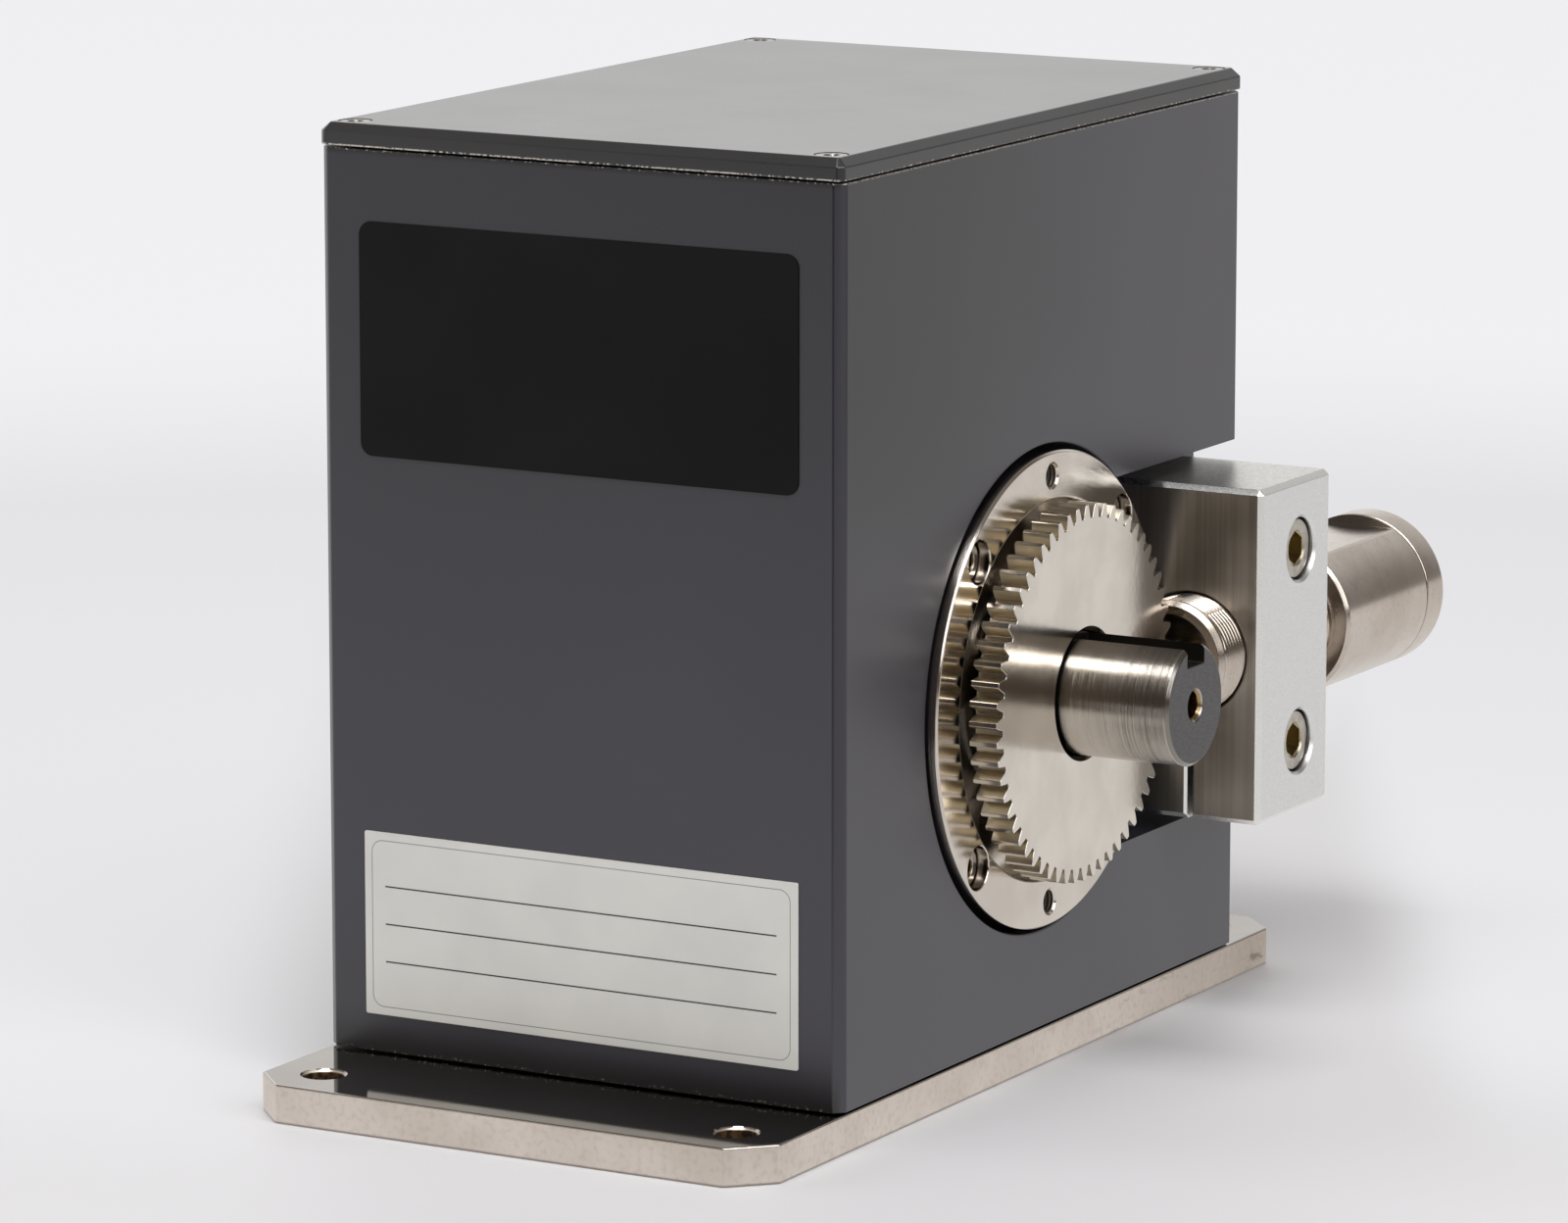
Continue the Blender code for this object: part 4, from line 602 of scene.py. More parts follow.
def gear_tint(f, distance, colour, gloss, height):
    """Pale gold tooth flanks, partly their own tint and partly a painted reflection, painted shade at the
    roots, and painted shade in the relief round the shaft.
    """
    faces = f.x.ramp(GEAR_FACE - 0.03, GEAR_FACE - 0.15) * f.x.ramp(GEAR_BACK + 0.03, GEAR_BACK + 0.15)
    rim = distance.ramp(GEAR_ROOT - 0.25, GEAR_ROOT + 0.15) * faces
    rim = rim * distance.ramp(GEAR_TIP + 0.02, GEAR_TIP - 0.1)
    # Painted shade: the tooth roots darker
    painted_root_shade = distance.ramp(GEAR_ROOT + 0.95, GEAR_ROOT + 0.05)
    # Pale gold flanks: partly their own tint, partly a painted reflection of the bright light they face
    colour = f.mix(rim * 0.85, colour, rgb(238, 228, 206))
    colour = f.mix(rim * painted_root_shade * 0.5, colour, rgb(120, 100, 66))
    # Painted shade: the relief round the shaft nearly black
    relief = distance.ramp(RELIEF_RADIUS + 0.07, RELIEF_RADIUS + 0.03)
    relief = relief * f.x.ramp(GEAR_FACE - 0.2, GEAR_FACE - 0.3)
    colour = f.mix(relief * 0.9, colour, rgb(22, 20, 18))
    return colour, f.blend(rim, gloss, 0.30), height


def shaft_tint(f, distance, colour, gloss, height):
    """Dull grey end faces with a darker chamfer, a brassy centre hole and a keyway darkened by painted
    shade.
    """
    out = abs(f.x)
    aside = abs(f.y)
    ends = out.ramp(SHAFT_END - 0.11, SHAFT_END - 0.05)
    ends = ends * distance.ramp(SHAFT_RADIUS - 0.5, SHAFT_RADIUS - 0.65)
    marks = f.noise(0.8, 3.0, (1.0, 1.0, 4.0))
    colour = f.mix(ends, colour, f.mix(marks.ramp(0.3, 0.7), rgb(84, 83, 85), rgb(96, 95, 96)))
    rim = out.ramp(SHAFT_END - 0.65, SHAFT_END - 0.55)
    rim = rim * distance.ramp(SHAFT_RADIUS - 0.65, SHAFT_RADIUS - 0.55)
    colour = f.mix(rim * 0.75, colour, rgb(112, 108, 105))
    hole = distance.ramp(2.75, 2.3) * out.ramp(62.0, 63.0)
    colour = f.mix(hole * 0.85, colour, rgb(150, 122, 76))
    # Painted shade: the keyway nearly black
    key = f.z.ramp(KEY_FLOOR - 0.3, KEY_FLOOR - 0.1) * aside.ramp(KEY_HALF + 0.14, KEY_HALF + 0.06)
    colour = f.mix(key * 0.8, colour, rgb(34, 28, 23))
    still = f.largest(ends, key)
    return colour, f.blend(still, gloss, 0.34), height * (1.0 - still * 0.8)


def disc_tint(f, distance, colour, gloss, height):
    """A painted highlight as a dull bright line on the recess lip, ridged tapped holes with painted shade
    between the ridges, and a well grooved side.
    """
    out = abs(f.x)
    # Painted highlight: a bright line on the recess lip
    lip = distance.ramp(RECESS_RADIUS + 0.55, RECESS_RADIUS + 0.4)
    lip = lip * distance.ramp(RECESS_RADIUS - 0.2, RECESS_RADIUS - 0.1)
    lip = lip * out.ramp(DISC_FACE - 0.5, DISC_FACE - 0.3)
    colour = f.mix(lip * 0.8, colour, rgb(240, 236, 230))
    rise = abs(f.z - AXIS_Z) - SCREW_CIRCLE
    tapped = f.length(rise, f.y).ramp(TAP_RADIUS + 0.1, TAP_RADIUS + 0.03)
    ridge = abs(f.math("FRACT", out * 1.4) * 2.0 - 1.0)
    # Painted shade: dark bands between the thread ridges of the tapped holes
    colour = f.mix(tapped * ridge.ramp(0.5, 0.9), colour, rgb(96, 88, 78))
    side = distance.ramp(DISC_RADIUS - 0.2, DISC_RADIUS - 0.05)
    height = height * (1.0 + side * 3.0) + tapped * ridge * 12.0
    return colour, f.blend(f.largest(lip, tapped), gloss, 0.45), height


def milled_block():
    """Milled aluminium: brushed sides, the faces square to the pickup's axis darkened by a painted
    reflection, a fine matte outer face, bright chamfers and painted light on the slit's wall.
    """
    f = Finish("milled_aluminium", 1.0)
    outer = f.x.ramp(BLOCK_HIGH[0] - 0.8, BLOCK_HIGH[0] - 0.2)
    brush = f.noise(1.0, 3.0, (7.0, 7.0, 0.10))
    broad = f.noise(0.35, 2.0, (5.0, 5.0, 0.05))
    matte = f.noise(5.0, 3.0)
    marks = f.noise(1.0, 2.0, (1.2, 1.2, 6.0), at=f.vector(f.x, f.y, f.z + f.y * 0.7 + f.x * 0.7))
    inset = f.math("MINIMUM", f.z - BLOCK_LOW[2], BLOCK_HIGH[2] - f.z)
    aside = f.math("MINIMUM", f.y - BLOCK_LOW[1], BLOCK_HIGH[1] - f.y)
    outside = BLOCK_HIGH[0] - f.x
    rim_one = inset.ramp(0.95, 0.85) * outside.ramp(0.95, 0.85)
    rim_two = aside.ramp(0.95, 0.85) * outside.ramp(0.95, 0.85)
    rim_three = inset.ramp(0.95, 0.85) * aside.ramp(0.95, 0.85)
    rim = f.largest(rim_one, rim_two, rim_three)
    side = aside.ramp(0.9, 0.2) * (1.0 - rim)
    colour = f.mix(broad.ramp(0.35, 0.65), rgb(206, 206, 204), rgb(186, 184, 180))
    colour = f.mix(outer, colour, f.mix(matte.ramp(0.3, 0.7), rgb(238, 239, 240), rgb(224, 225, 227)))
    # Painted reflection: the faces square to the pickup's axis darker and browner, as if mirroring the dark
    # parts nearby
    colour = f.mix(side * 0.35, colour, rgb(150, 136, 122))
    # Painted light: the slit's wall bright, standing in for light that comes through the slit
    slit = abs(f.x - PICKUP_X).ramp(0.98, 0.93) * f.z.ramp(54.0, 53.5) * f.y.ramp(40.9, 40.6)
    rim = f.largest(rim, slit)
    colour = f.mix(rim, colour, rgb(236, 236, 234))
    rough = f.blend(outer, 0.26 + brush * 0.16, 0.33 + matte * 0.08)
    rough = f.blend(rim, rough, 0.16 + marks * 0.2)
    height = f.blend(outer, brush, matte * 0.6)
    height = f.blend(rim, height, marks)
    return f.done(colour, rough, f.bump(height, 0.010, 0.7))


def screw_metal():
    """Plain screw steel, its heads on the cover darkened by painted shade, a golden tint in the clamp
    screws' sockets and painted shade inside the flange screws' sockets.
    """
    f = Finish("screw_steel", 1.0)
    cloud = f.noise(0.5, 3.0)
    fine = f.noise(3.0, 3.0)
    near_top = abs(f.x)
    clamp = f.x.ramp(CLAMP_HEAD_X - 0.02, CLAMP_HEAD_X - 0.2) * f.y.ramp(48.0, 49.0)
    rise = f.math("MINIMUM", abs(f.z - CLAMP_Z[0]), abs(f.z - CLAMP_Z[1]))
    across = f.y - CLAMP_Y
    centre = f.length(across, rise)
    socket = clamp * centre.ramp(3.1, 2.8)
    flange = near_top.ramp(47.05, 46.95) * near_top.ramp(40.0, 41.0) * f.y.ramp(44.0, 43.0)
    ring = about_shaft(f)
    inner = flange * abs(ring - SCREW_CIRCLE).ramp(1.9, 1.6)
    colour = f.mix(cloud.ramp(0.3, 0.7), rgb(196, 192, 184), rgb(172, 166, 158))
    # Painted shade: the cover screws' heads darker, standing in for the grey they mirror
    lid = f.z.ramp(COVER_TOP - 1.0, COVER_TOP - 0.7)
    colour = f.mix(lid * 0.75, colour, rgb(132, 130, 127))
    colour = f.mix(socket, colour, rgb(176, 162, 124))
    # Painted shade: dark brown inside the flange screws' sockets
    colour = f.mix(inner, colour, rgb(96, 74, 46))
    return f.done(colour, 0.22 + fine * 0.16, f.bump(fine, 0.008, 0.5))


def stainless():
    """Warm satin stainless with fine turning marks and soft clouds."""
    f = Finish("warm_stainless", 1.0)
    distance = about_pickup(f)
    rings = f.noise(1.0, 4.0, at=f.vector(f.y * 4.0, distance * 4.0, 0.0))
    cloud = f.noise(0.07, 3.0)
    fine = f.noise(1.6, 3.0)
    colour = f.mix(cloud.ramp(0.3, 0.7), rgb(208, 199, 190), rgb(190, 179, 168))
    colour = f.mix(fine.ramp(0.5, 0.8) * 0.3, colour, rgb(160, 148, 135))
    tip = f.y.ramp(36.5, 36.1) * distance.ramp(8.0, 7.7)
    colour = f.mix(tip * 0.8, colour, rgb(36, 34, 32))
    blotch = f.noise(0.35, 3.0)
    colour = f.mix(blotch.ramp(0.55, 0.75) * 0.25, colour, rgb(160, 150, 142))
    height = rings * 0.5 + fine * 0.35
    return f.done(colour, 0.15 + rings * 0.05 + fine * 0.05, f.bump(height, 0.008, 0.6))


def plain_metal(name, first, second, rough=(0.2, 0.32)):
    """Metal with slightly uneven colour and gloss."""
    f = Finish(name, 1.0)
    cloud = f.noise(0.5, 3.0)
    fine = f.noise(3.0, 3.0)
    colour = f.mix(cloud.ramp(0.3, 0.7), first, second)
    low, high = rough
    return f.done(colour, low + fine * (high - low), f.bump(fine, 0.008, 0.5))


def insert_finish():
    """Black contact insert whose standing pins are gilt."""
    f = Finish("black_insert", 0.0)
    grain = f.noise(4.0, 3.0)
    around = about_pickup(f)
    ring = about_connector(f)
    small = abs(around - 4.2).ramp(1.0, 0.85) * f.y.ramp(106.45, 106.6)
    large = abs(ring - 4.2).ramp(1.0, 0.85) * f.y.ramp(74.35, 74.5) * f.z.ramp(105.0, 106.0)
    pin = f.largest(small, large * f.y.ramp(79.0, 78.6))
    colour = f.mix(pin, rgb(26, 26, 28), rgb(206, 170, 96))
    rough = f.blend(pin, 0.42 + grain * 0.14, 0.25)
    return f.done(colour, rough, f.bump(grain, 0.02, 0.5), Metallic=pin)


def board_finish():
    """Green board with copper tracks under the mask and black components."""
    f = Finish("green_board", 0.0)
    track_x = f.math("FRACT", f.x * 0.18 + f.noise(0.05, 1.0) * 2.0)
    track_y = f.math("FRACT", f.y * 0.14 + f.noise(0.04, 1.0) * 2.0)
    lines = f.largest(track_x.ramp(0.86, 0.9), track_y.ramp(0.88, 0.92))
    top = f.z.ramp(136.0, 136.1)
    colour = f.mix(lines * 0.6, rgb(18, 74, 42), rgb(34, 104, 58))
    colour = f.mix(top, colour, rgb(28, 28, 30))
    grain = f.noise(3.0, 3.0)
    return f.done(colour, 0.34 + grain * 0.18, f.bump(lines * 0.5 + grain * 0.5, 0.03, 0.5))


def black_label():
    """Black matte label, bare, with a slightly brushed skin."""
    f = Finish("black_label", 0.0, Specular_IOR_Level=0.16)
    brush = f.noise(1.0, 3.0, (0.15, 1.0, 7.0))
    cloud = f.noise(0.03, 2.0)
    grain = f.noise(3.0, 2.0)
    colour = f.mix(cloud.ramp(0.3, 0.7), rgb(13, 12, 13), rgb(18, 17, 18))
    return f.done(colour, 0.34 + brush * 0.10 + cloud * 0.05, f.bump(brush * 0.5 + grain * 0.5, 0.008, 0.5))


def silver_label():
    """Brushed silver label with a thin rounded frame and ruled rows, and no text."""
    f = Finish("silver_label", 1.0)
    brush = f.noise(1.0, 3.0, (0.10, 1.0, 8.0))
    cloud = f.noise(0.06, 3.0)
    across = abs(f.x)
    middle = f.z - sum(SILVER_LABEL_Z) / 2
    rise = abs(middle)
    corner = 2.0
    past_x = f.largest(across - (38.6 - corner), 0.0)
    past_z = f.largest(rise - (13.7 - corner), 0.0)
    frame_line = f.length(past_x, past_z).near(corner, 0.11) * 0.7
    rows = abs(f.math("FRACT", middle / 6.2 + 0.5) - 0.5).ramp(0.028, 0.012)
    ink = f.largest(frame_line, rows * across.ramp(36.2, 36.1) * rise.ramp(10.0, 9.9))
    colour = f.mix(cloud.ramp(0.3, 0.7), rgb(232, 232, 228), rgb(225, 225, 222))
    colour = f.mix(ink, colour, rgb(44, 42, 44))
    rough = f.blend(ink, 0.32 + brush * 0.10, 0.5)
    metal = (1.0 - ink) * 0.2
    return f.done(colour, rough, f.bump(brush - ink * 0.5, 0.005, 0.4), Metallic=metal)


# Repeated forms


class Pattern(Net):
    """A Geometry Nodes tree with named inputs that is applied once and baked."""

    def __init__(self, name):
        super().__init__(bpy.data.node_groups.new(name, "GeometryNodeTree"))
        self.values = {}
        self.entry = self.tree.nodes.new("NodeGroupInput")
        self.take("Geometry", "NodeSocketGeometry")
        self.tree.interface.new_socket("Geometry", in_out="OUTPUT", socket_type="NodeSocketGeometry")

    def take(self, name, kind="NodeSocketFloat", value=None):
        """Add a named input and return its wire."""
        socket = self.tree.interface.new_socket(name, in_out="INPUT", socket_type=kind)
        if value is not None:
            self.values[socket.identifier] = value
        return Wire(self, self.entry.outputs[name])

    def copies(self, points, shape, turn):
        """Real copies of a shape at points, each turned by its Euler angles."""
        turned = self.node("FunctionNodeEulerToRotation", [turn])
        values = {"Points": points, "Instance": shape, "Rotation": turned}
        placed = self.node("GeometryNodeInstanceOnPoints", values)
        return self.node("GeometryNodeRealizeInstances", {"Geometry": placed})

    def run(self, mesh, shape, material):
        """End the tree with a finish, apply it to a mesh and bake the result."""
        finish = self.take("Finish", "NodeSocketMaterial", material)
        painted = self.node("GeometryNodeSetMaterial", {"Geometry": shape, "Material": finish})
        exit_node = self.tree.nodes.new("NodeGroupOutput")
        self.feed(exit_node.inputs[0], painted)
        thing = link(mesh)
        modifier = thing.modifiers.new("pattern", "NODES")
        modifier.node_group = self.tree
        for identifier, value in self.values.items():
            modifier[identifier] = value
        return baked(thing)


def marked_points(places):
    """Points that carry the turn of each place."""
    mesh = bpy.data.meshes.new("places")
    mesh.from_pydata([place.translation for place in places], [], [])
    turns = mesh.attributes.new("turn", "FLOAT_VECTOR", "POINT")
    for point, place in zip(turns.data, places):
        point.vector = place.to_euler()
    return mesh


def stand_copies(mesh, places, material):
    """One copy of a mesh at each place, as one mesh."""
    source = link(mesh, "source")
    pattern = Pattern("copies")
    base = pattern.take("Source", "NodeSocketObject", source)
    shape = pattern.node("GeometryNodeObjectInfo", {"Object": base}, "Geometry")
    turn = pattern.node("GeometryNodeInputNamedAttribute", {"Name": "turn"}, data_type="FLOAT_VECTOR")
    entry = Wire(pattern, pattern.entry.outputs["Geometry"])
    made = pattern.run(marked_points(places), pattern.copies(entry, shape, turn), material)
    bpy.data.objects.remove(source)
    return made


def toothed_disc(tooth, count, width, material):
    """Teeth repeated round a circle, filled and given a width."""
    source = link(tooth, "tooth")
    pattern = Pattern("teeth")
    base = pattern.take("Tooth", "NodeSocketObject", source)
    number = pattern.take("Count", "NodeSocketInt", count)
    thick = pattern.take("Width", "NodeSocketFloat", width)
    shape = pattern.node("GeometryNodeObjectInfo", {"Object": base}, "Geometry")
    points = pattern.node("GeometryNodePoints", {"Count": number})
    turn = pattern.node("GeometryNodeInputIndex") * (2 * math.pi / count)
    euler = pattern.node("ShaderNodeCombineXYZ", {"Z": turn})
    real = pattern.copies(points, shape, euler)
    whole = pattern.node("GeometryNodeMergeByDistance", {"Geometry": real, "Distance": 0.002})
    outline = pattern.node("GeometryNodeMeshToCurve", {"Mesh": whole})
    face = pattern.node("GeometryNodeFillCurve", {"Curve": outline}, mode="NGONS")
    offset = pattern.node("ShaderNodeCombineXYZ", {"Z": thick})
    values = {"Mesh": face, "Offset": offset, "Individual": False}
    raised = pattern.node("GeometryNodeExtrudeMesh", values, "Mesh", mode="FACES")
    under = pattern.node("GeometryNodeFlipFaces", {"Mesh": face})
    both = pattern.node("GeometryNodeJoinGeometry")
    for part in (raised, under):
        pattern.tree.links.new(part.socket, both.socket.node.inputs[0])
    closed = pattern.node("GeometryNodeMergeByDistance", {"Geometry": both, "Distance": 0.002})
    made = pattern.run(bpy.data.meshes.new("empty"), closed, material)
    bpy.data.objects.remove(source)
    return made


def threaded(mesh, start, end, pitch, depth, inside, material):
    """Cut a helical thread into what lies outside a radius, between two stations of local Z."""
    pattern = Pattern("thread")
    first = pattern.take("Start", value=start)
    last = pattern.take("End", value=end)
    lead = pattern.take("Pitch", value=pitch)
    bite = pattern.take("Depth", value=depth)
    core = pattern.take("Inside", value=inside)
    spot = pattern.node("GeometryNodeInputPosition")
    x = pattern.node("ShaderNodeSeparateXYZ", [spot])
    y, z = x.other(1), x.other(2)
    angle = pattern.math("ARCTAN2", y, x) / (2 * math.pi)
    wave = abs(pattern.math("FRACT", z / lead - angle) * 2.0 - 1.0)
    groove = pattern.clip(wave * 1.25 - 0.12)
    run_in = pattern.clip((z - first) / lead)
    run_out = pattern.clip((last - z) / lead)
    radius = pattern.length(x, y)
    cut = groove * run_in * run_out * bite * pattern.math("GREATER_THAN", radius, core)
    share = 1.0 - cut / pattern.largest(radius, 0.001)
    flat = pattern.node("ShaderNodeCombineXYZ", [share, share, 1.0])
    moved = pattern.node("ShaderNodeVectorMath", [spot, flat], operation="MULTIPLY")
    entry = Wire(pattern, pattern.entry.outputs["Geometry"])
    shape = pattern.node("GeometryNodeSetPosition", {"Geometry": entry, "Position": moved})
    return pattern.run(mesh, shape, material)


# Finished pieces


def piece(name, mesh, material, nodes, body="root", angle=SHARP):
    """Weld, shade and scale a mesh, and let it stand for its CAD nodes."""
    bm = bmesh.new()
    bm.from_mesh(mesh)
    bmesh.ops.remove_doubles(bm, verts=bm.verts[:], dist=0.0008)
    bmesh.ops.dissolve_degenerate(bm, edges=bm.edges[:], dist=0.0002)
    bm.to_mesh(mesh)
    bm.free()
    mesh.materials.clear()
    mesh.materials.append(material)
    mesh.shade_smooth()
    mesh.set_sharp_from_angle(angle=angle)
    thing = link(mesh)
    modifier = thing.modifiers.new("normals", "WEIGHTED_NORMAL")
    modifier.keep_sharp = True
    mesh = baked(thing)
    mesh.transform(Matrix.Scale(MM, 4))
    mesh.name = name
    thing = link(mesh, name)
    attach(thing, body)
    if nodes:
        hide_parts(*nodes)
    return thing


def foot_places():
    return [(x, y) for y in (FOOT_FRONT, FOOT_REAR) for x in (-FOOT_X, FOOT_X)]


def base_screw_places():
    return [shift(x, y, 0.4) @ ALONG["-Z"] for y in (-54.5, 58.5) for x in (-36.0, 36.0)]


def cover_screw_places():
    return [shift(x, y, 157.1) for y in (-63.2, 67.2) for x in (-43.3, 43.3)]


def flange_screw_places(side):
    sites = on_circle(SCREW_CIRCLE, 4, math.pi / 4)
    return [shaft_axis(side) @ shift(x, y, DISC_FACE - 2.0) for x, y in sites]


def clamp_screw_places():
    return [shift(CLAMP_HEAD_X, CLAMP_Y, z) @ ALONG["+X"] for z in CLAMP_Z]


def make_plate(finish):
    """Base plate with cut corners, four foot holes and countersinks below."""
    outline = cut_corners((-HALF_WIDTH, PLATE_FRONT), (HALF_WIDTH, PLATE_REAR), 6.5)
    mesh = soften(prism(outline, 0.0, PLATE_TOP), 0.35, 3)
    tools = [drill(shift(x, y, 0), -OVER, PLATE_TOP, FOOT_RADIUS, 0.5) for x, y in foot_places()]
    mesh = drill_all(mesh, tools)
    mesh = countersink(mesh, BASE_SCREW, base_screw_places())
    piece("base_plate_fine", mesh, finish, ["base_plate"])


def make_housing(finish):
    """Open box with bearing bosses, disc seats, a side pocket, ledges and lugs."""
    outline = cut_corners((-HALF_WIDTH, BODY_FRONT), (HALF_WIDTH, BODY_REAR), 1.6)
    mesh = soften(prism(outline, BODY_LOW, BODY_HIGH), 0.25, 3)
    inner = cut_corners((-INNER_HALF, BODY_FRONT + WALL), (INNER_HALF, BODY_REAR - WALL), 6.5)
    mesh = combine(mesh, prism(inner, BODY_LOW + 8.0, BODY_HIGH + OVER))
    reach = INNER_HALF + WALL / 2
    bosses = [rod(45.0, 31.4, reach, shaft_axis(side)) for side in ("+X", "-X")]
    mesh = combine(mesh, joined(bosses), "UNION")
    mesh = combine(mesh, block((33.0, 23.5, 25.9), (reach, BODY_REAR - 3.0, 100.1)), "UNION")
    shelves = []
    for side in (-1, 1):
        near, far = sorted((side * (INNER_HALF - 6.0), side * reach))
        shelves.append(block((near, -12.0, 102.0), (far, 12.0, 112.0)))
        for y in (-47.0, 47.0):
            shelves.append(block((near, y - 5.0, 126.0), (far, y + 5.0, 134.0)))
    mesh = combine(mesh, joined(shelves), "UNION")
    for side in ("+X", "-X"):
        mesh = combine(mesh, drill(shaft_axis(side), SEAT_FACE, HALF_WIDTH, 40.2, 0.2, TURN))
    mesh = combine(mesh, rod(26.3, -60, 60, shaft_axis()))
    mesh = combine(mesh, block((SEAT_FACE, 23.5, 31.9), (60.0, 80.0, 94.1)))
    flange_places = flange_screw_places("+X") + flange_screw_places("-X")
    tools = [drill(place, -13.1, OVER, 2.3, 0, 32) for place in flange_places]
    tools += [drill(place, -31.6, -20.0, 3.3, 0, 32) for place in clamp_screw_places()]
    tools += [drill(place, -11.1, 0.0, 1.8, 0, 32) for place in cover_screw_places()]
    tools += [drill(place, -12.6, 0.0, 2.8, 0, 32) for place in base_screw_places()]
    x = INNER_HALF - 3.0
    sites = [(x, 0, 105.9), (-x, 0, 105.9)]
    sites += [(side * x, y, 127.7) for side in (1, -1) for y in (47, -47)]
    tools += [drill(shift(*site), 0, 8.0, 1.55, 0, 24) for site in sites]
    tools.append(drill(CONNECTOR_AXIS, 60.0, BODY_REAR, 9.8, 0.2))
    mesh = drill_all(mesh, tools)
    piece("housing_fine", mesh, finish, ["housing"])


def make_cover(finish):
    """Chamfered lid with a locating lip below and countersunk screw seats."""
    outline = cut_corners((-HALF_WIDTH, BODY_FRONT), (HALF_WIDTH, BODY_REAR), 1.0)
    mesh = prism(outline, COVER_LOW, COVER_TOP)
    mesh = bevel_where(mesh, 1.4, lambda edge: all(v.co.z > COVER_TOP - 0.01 for v in edge.verts))
    mesh = soften(mesh, 0.18, 3, 20.0)
    lip = cut_corners((-INNER_HALF + GAP, BODY_FRONT + 6.3), (INNER_HALF - GAP, BODY_REAR - 6.3), 6.8)
    mesh = combine(mesh, prism(lip, COVER_LOW - 2.0, COVER_LOW + 2.2), "UNION")
    mesh = countersink(mesh, COVER_SCREW, cover_screw_places())
    piece("top_cover_fine", mesh, finish, ["top_cover"])


def make_flange(side, name, node, finish):
    """Bearing flange: proud disc, gear recess, bearing seat and spigot."""
    lip = []
    for step in range(5):
        turn = math.pi / 2 * step / 4
        across, down = 0.45 * (1 - math.cos(turn)), 0.45 * (1 - math.sin(turn))
        lip.append((RECESS_RADIUS + across, DISC_FACE - down))
    spigot, bearing, hole = 26.0, 21.3, 13.5
    inner_end, shoulder, recess = 28.1, 41.0, 43.5
    profile = [
        *lip,
        (DISC_RADIUS - 0.35, DISC_FACE),
        (DISC_RADIUS, DISC_FACE - 0.35),
        (DISC_RADIUS, SEAT_FACE + GAP),
        (spigot, SEAT_FACE + GAP),
        (spigot, inner_end),
        (bearing, inner_end),
        (bearing, shoulder),
        (hole, shoulder),
        (hole, recess),
        (RECESS_RADIUS, recess),
    ]
    axis = shaft_axis(side)
    mesh = lathe(eased(profile, 0.12, True), TURN, axis, True)
    sinks = [drill(place, -4.3, 2.0, 3.6, 0.15) for place in flange_screw_places(side)]
    mesh = drill_all(mesh, sinks)
    holes = [drill(place, -13.0, -2.0, 2.3, 0, 32) for place in flange_screw_places(side)]
    for x, y in on_circle(SCREW_CIRCLE, 2):
        holes.append(drill(axis @ shift(x, y, 0), 36.0, DISC_FACE, TAP_RADIUS, 0.4, SCREW))
    mesh = drill_all(mesh, holes)
    if side == "+X":
        mesh = combine(mesh, rod(10.7, 28, 45, PICKUP_AXIS))
    piece(name, mesh, finish, [node])


def make_shaft(finish):
    """Keyed ends, shoulders and the thin torsion section between the bearings."""
    end = SHAFT_END
    shoulder, thin, arc_radius, arc_end = 13.0, 6.0, 4.0, 17.6
    arc = []
    for index in range(9):
        turn = math.pi / 2 * index / 8
        rise, run = arc_radius * (1 - math.sin(turn)), arc_radius * (1 - math.cos(turn))
        arc.append((thin + rise, arc_end - run))
    half = [
        (0.0, end - 14.1),
        (2.1, end - 12.0),
        (2.1, end - 0.7),
        (2.8, end),
        (SHAFT_RADIUS - 0.6, end),
        (SHAFT_RADIUS, end - 0.6),
        (SHAFT_RADIUS, 28.4),
        (shoulder, 28.4),
        (shoulder, arc_end),
    ]
    half = eased(half, 0.10) + arc
    profile = half + [(radius, -station) for radius, station in reversed(half)]
    mesh = lathe(profile, TURN, shaft_axis())
    slots = [
        soften(block((start, -KEY_HALF, KEY_FLOOR), (stop, KEY_HALF, 76.0)), 0.2, 2)
        for start, stop in ((54.2, 80.0), (-80.0, -53.25))
    ]
    mesh = combine(mesh, joined(slots))
    piece("torsion_shaft_fine", mesh, finish, ["torsion_shaft"], "rotor")


def involute(radius, base):
    """Involute function of the pressure angle at a radius."""
    angle = math.acos(min(1.0, base / radius))
    return math.tan(angle) - angle


def tooth_line():
    """One pitch of the wheel, module 1: root, involute flanks and a narrow tip."""
    pitch_radius = TEETH / 2
    base = pitch_radius * math.cos(math.radians(20.0))
    at_pitch = math.pi / (2 * TEETH) + involute(pitch_radius, base)
    low = max(GEAR_ROOT, base)
    flank = []
    for step in range(8):
        radius = low + (GEAR_TIP - low) * step / 7
        flank.append((radius, at_pitch - involute(radius, base)))
    rising = [(radius, -angle) for radius, angle in flank]
    falling = [(radius, angle) for radius, angle in reversed(flank)]
    pitch = 2 * math.pi / TEETH
    line = [(GEAR_ROOT, -pitch / 2), *rising, *falling, (GEAR_ROOT, pitch / 2)]
    corners = [(radius * math.cos(angle), radius * math.sin(angle), 0.0) for radius, angle in line]
    mesh = bpy.data.meshes.new("tooth")
    mesh.from_pydata(corners, [(index, index + 1) for index in range(len(corners) - 1)], [])
    return mesh


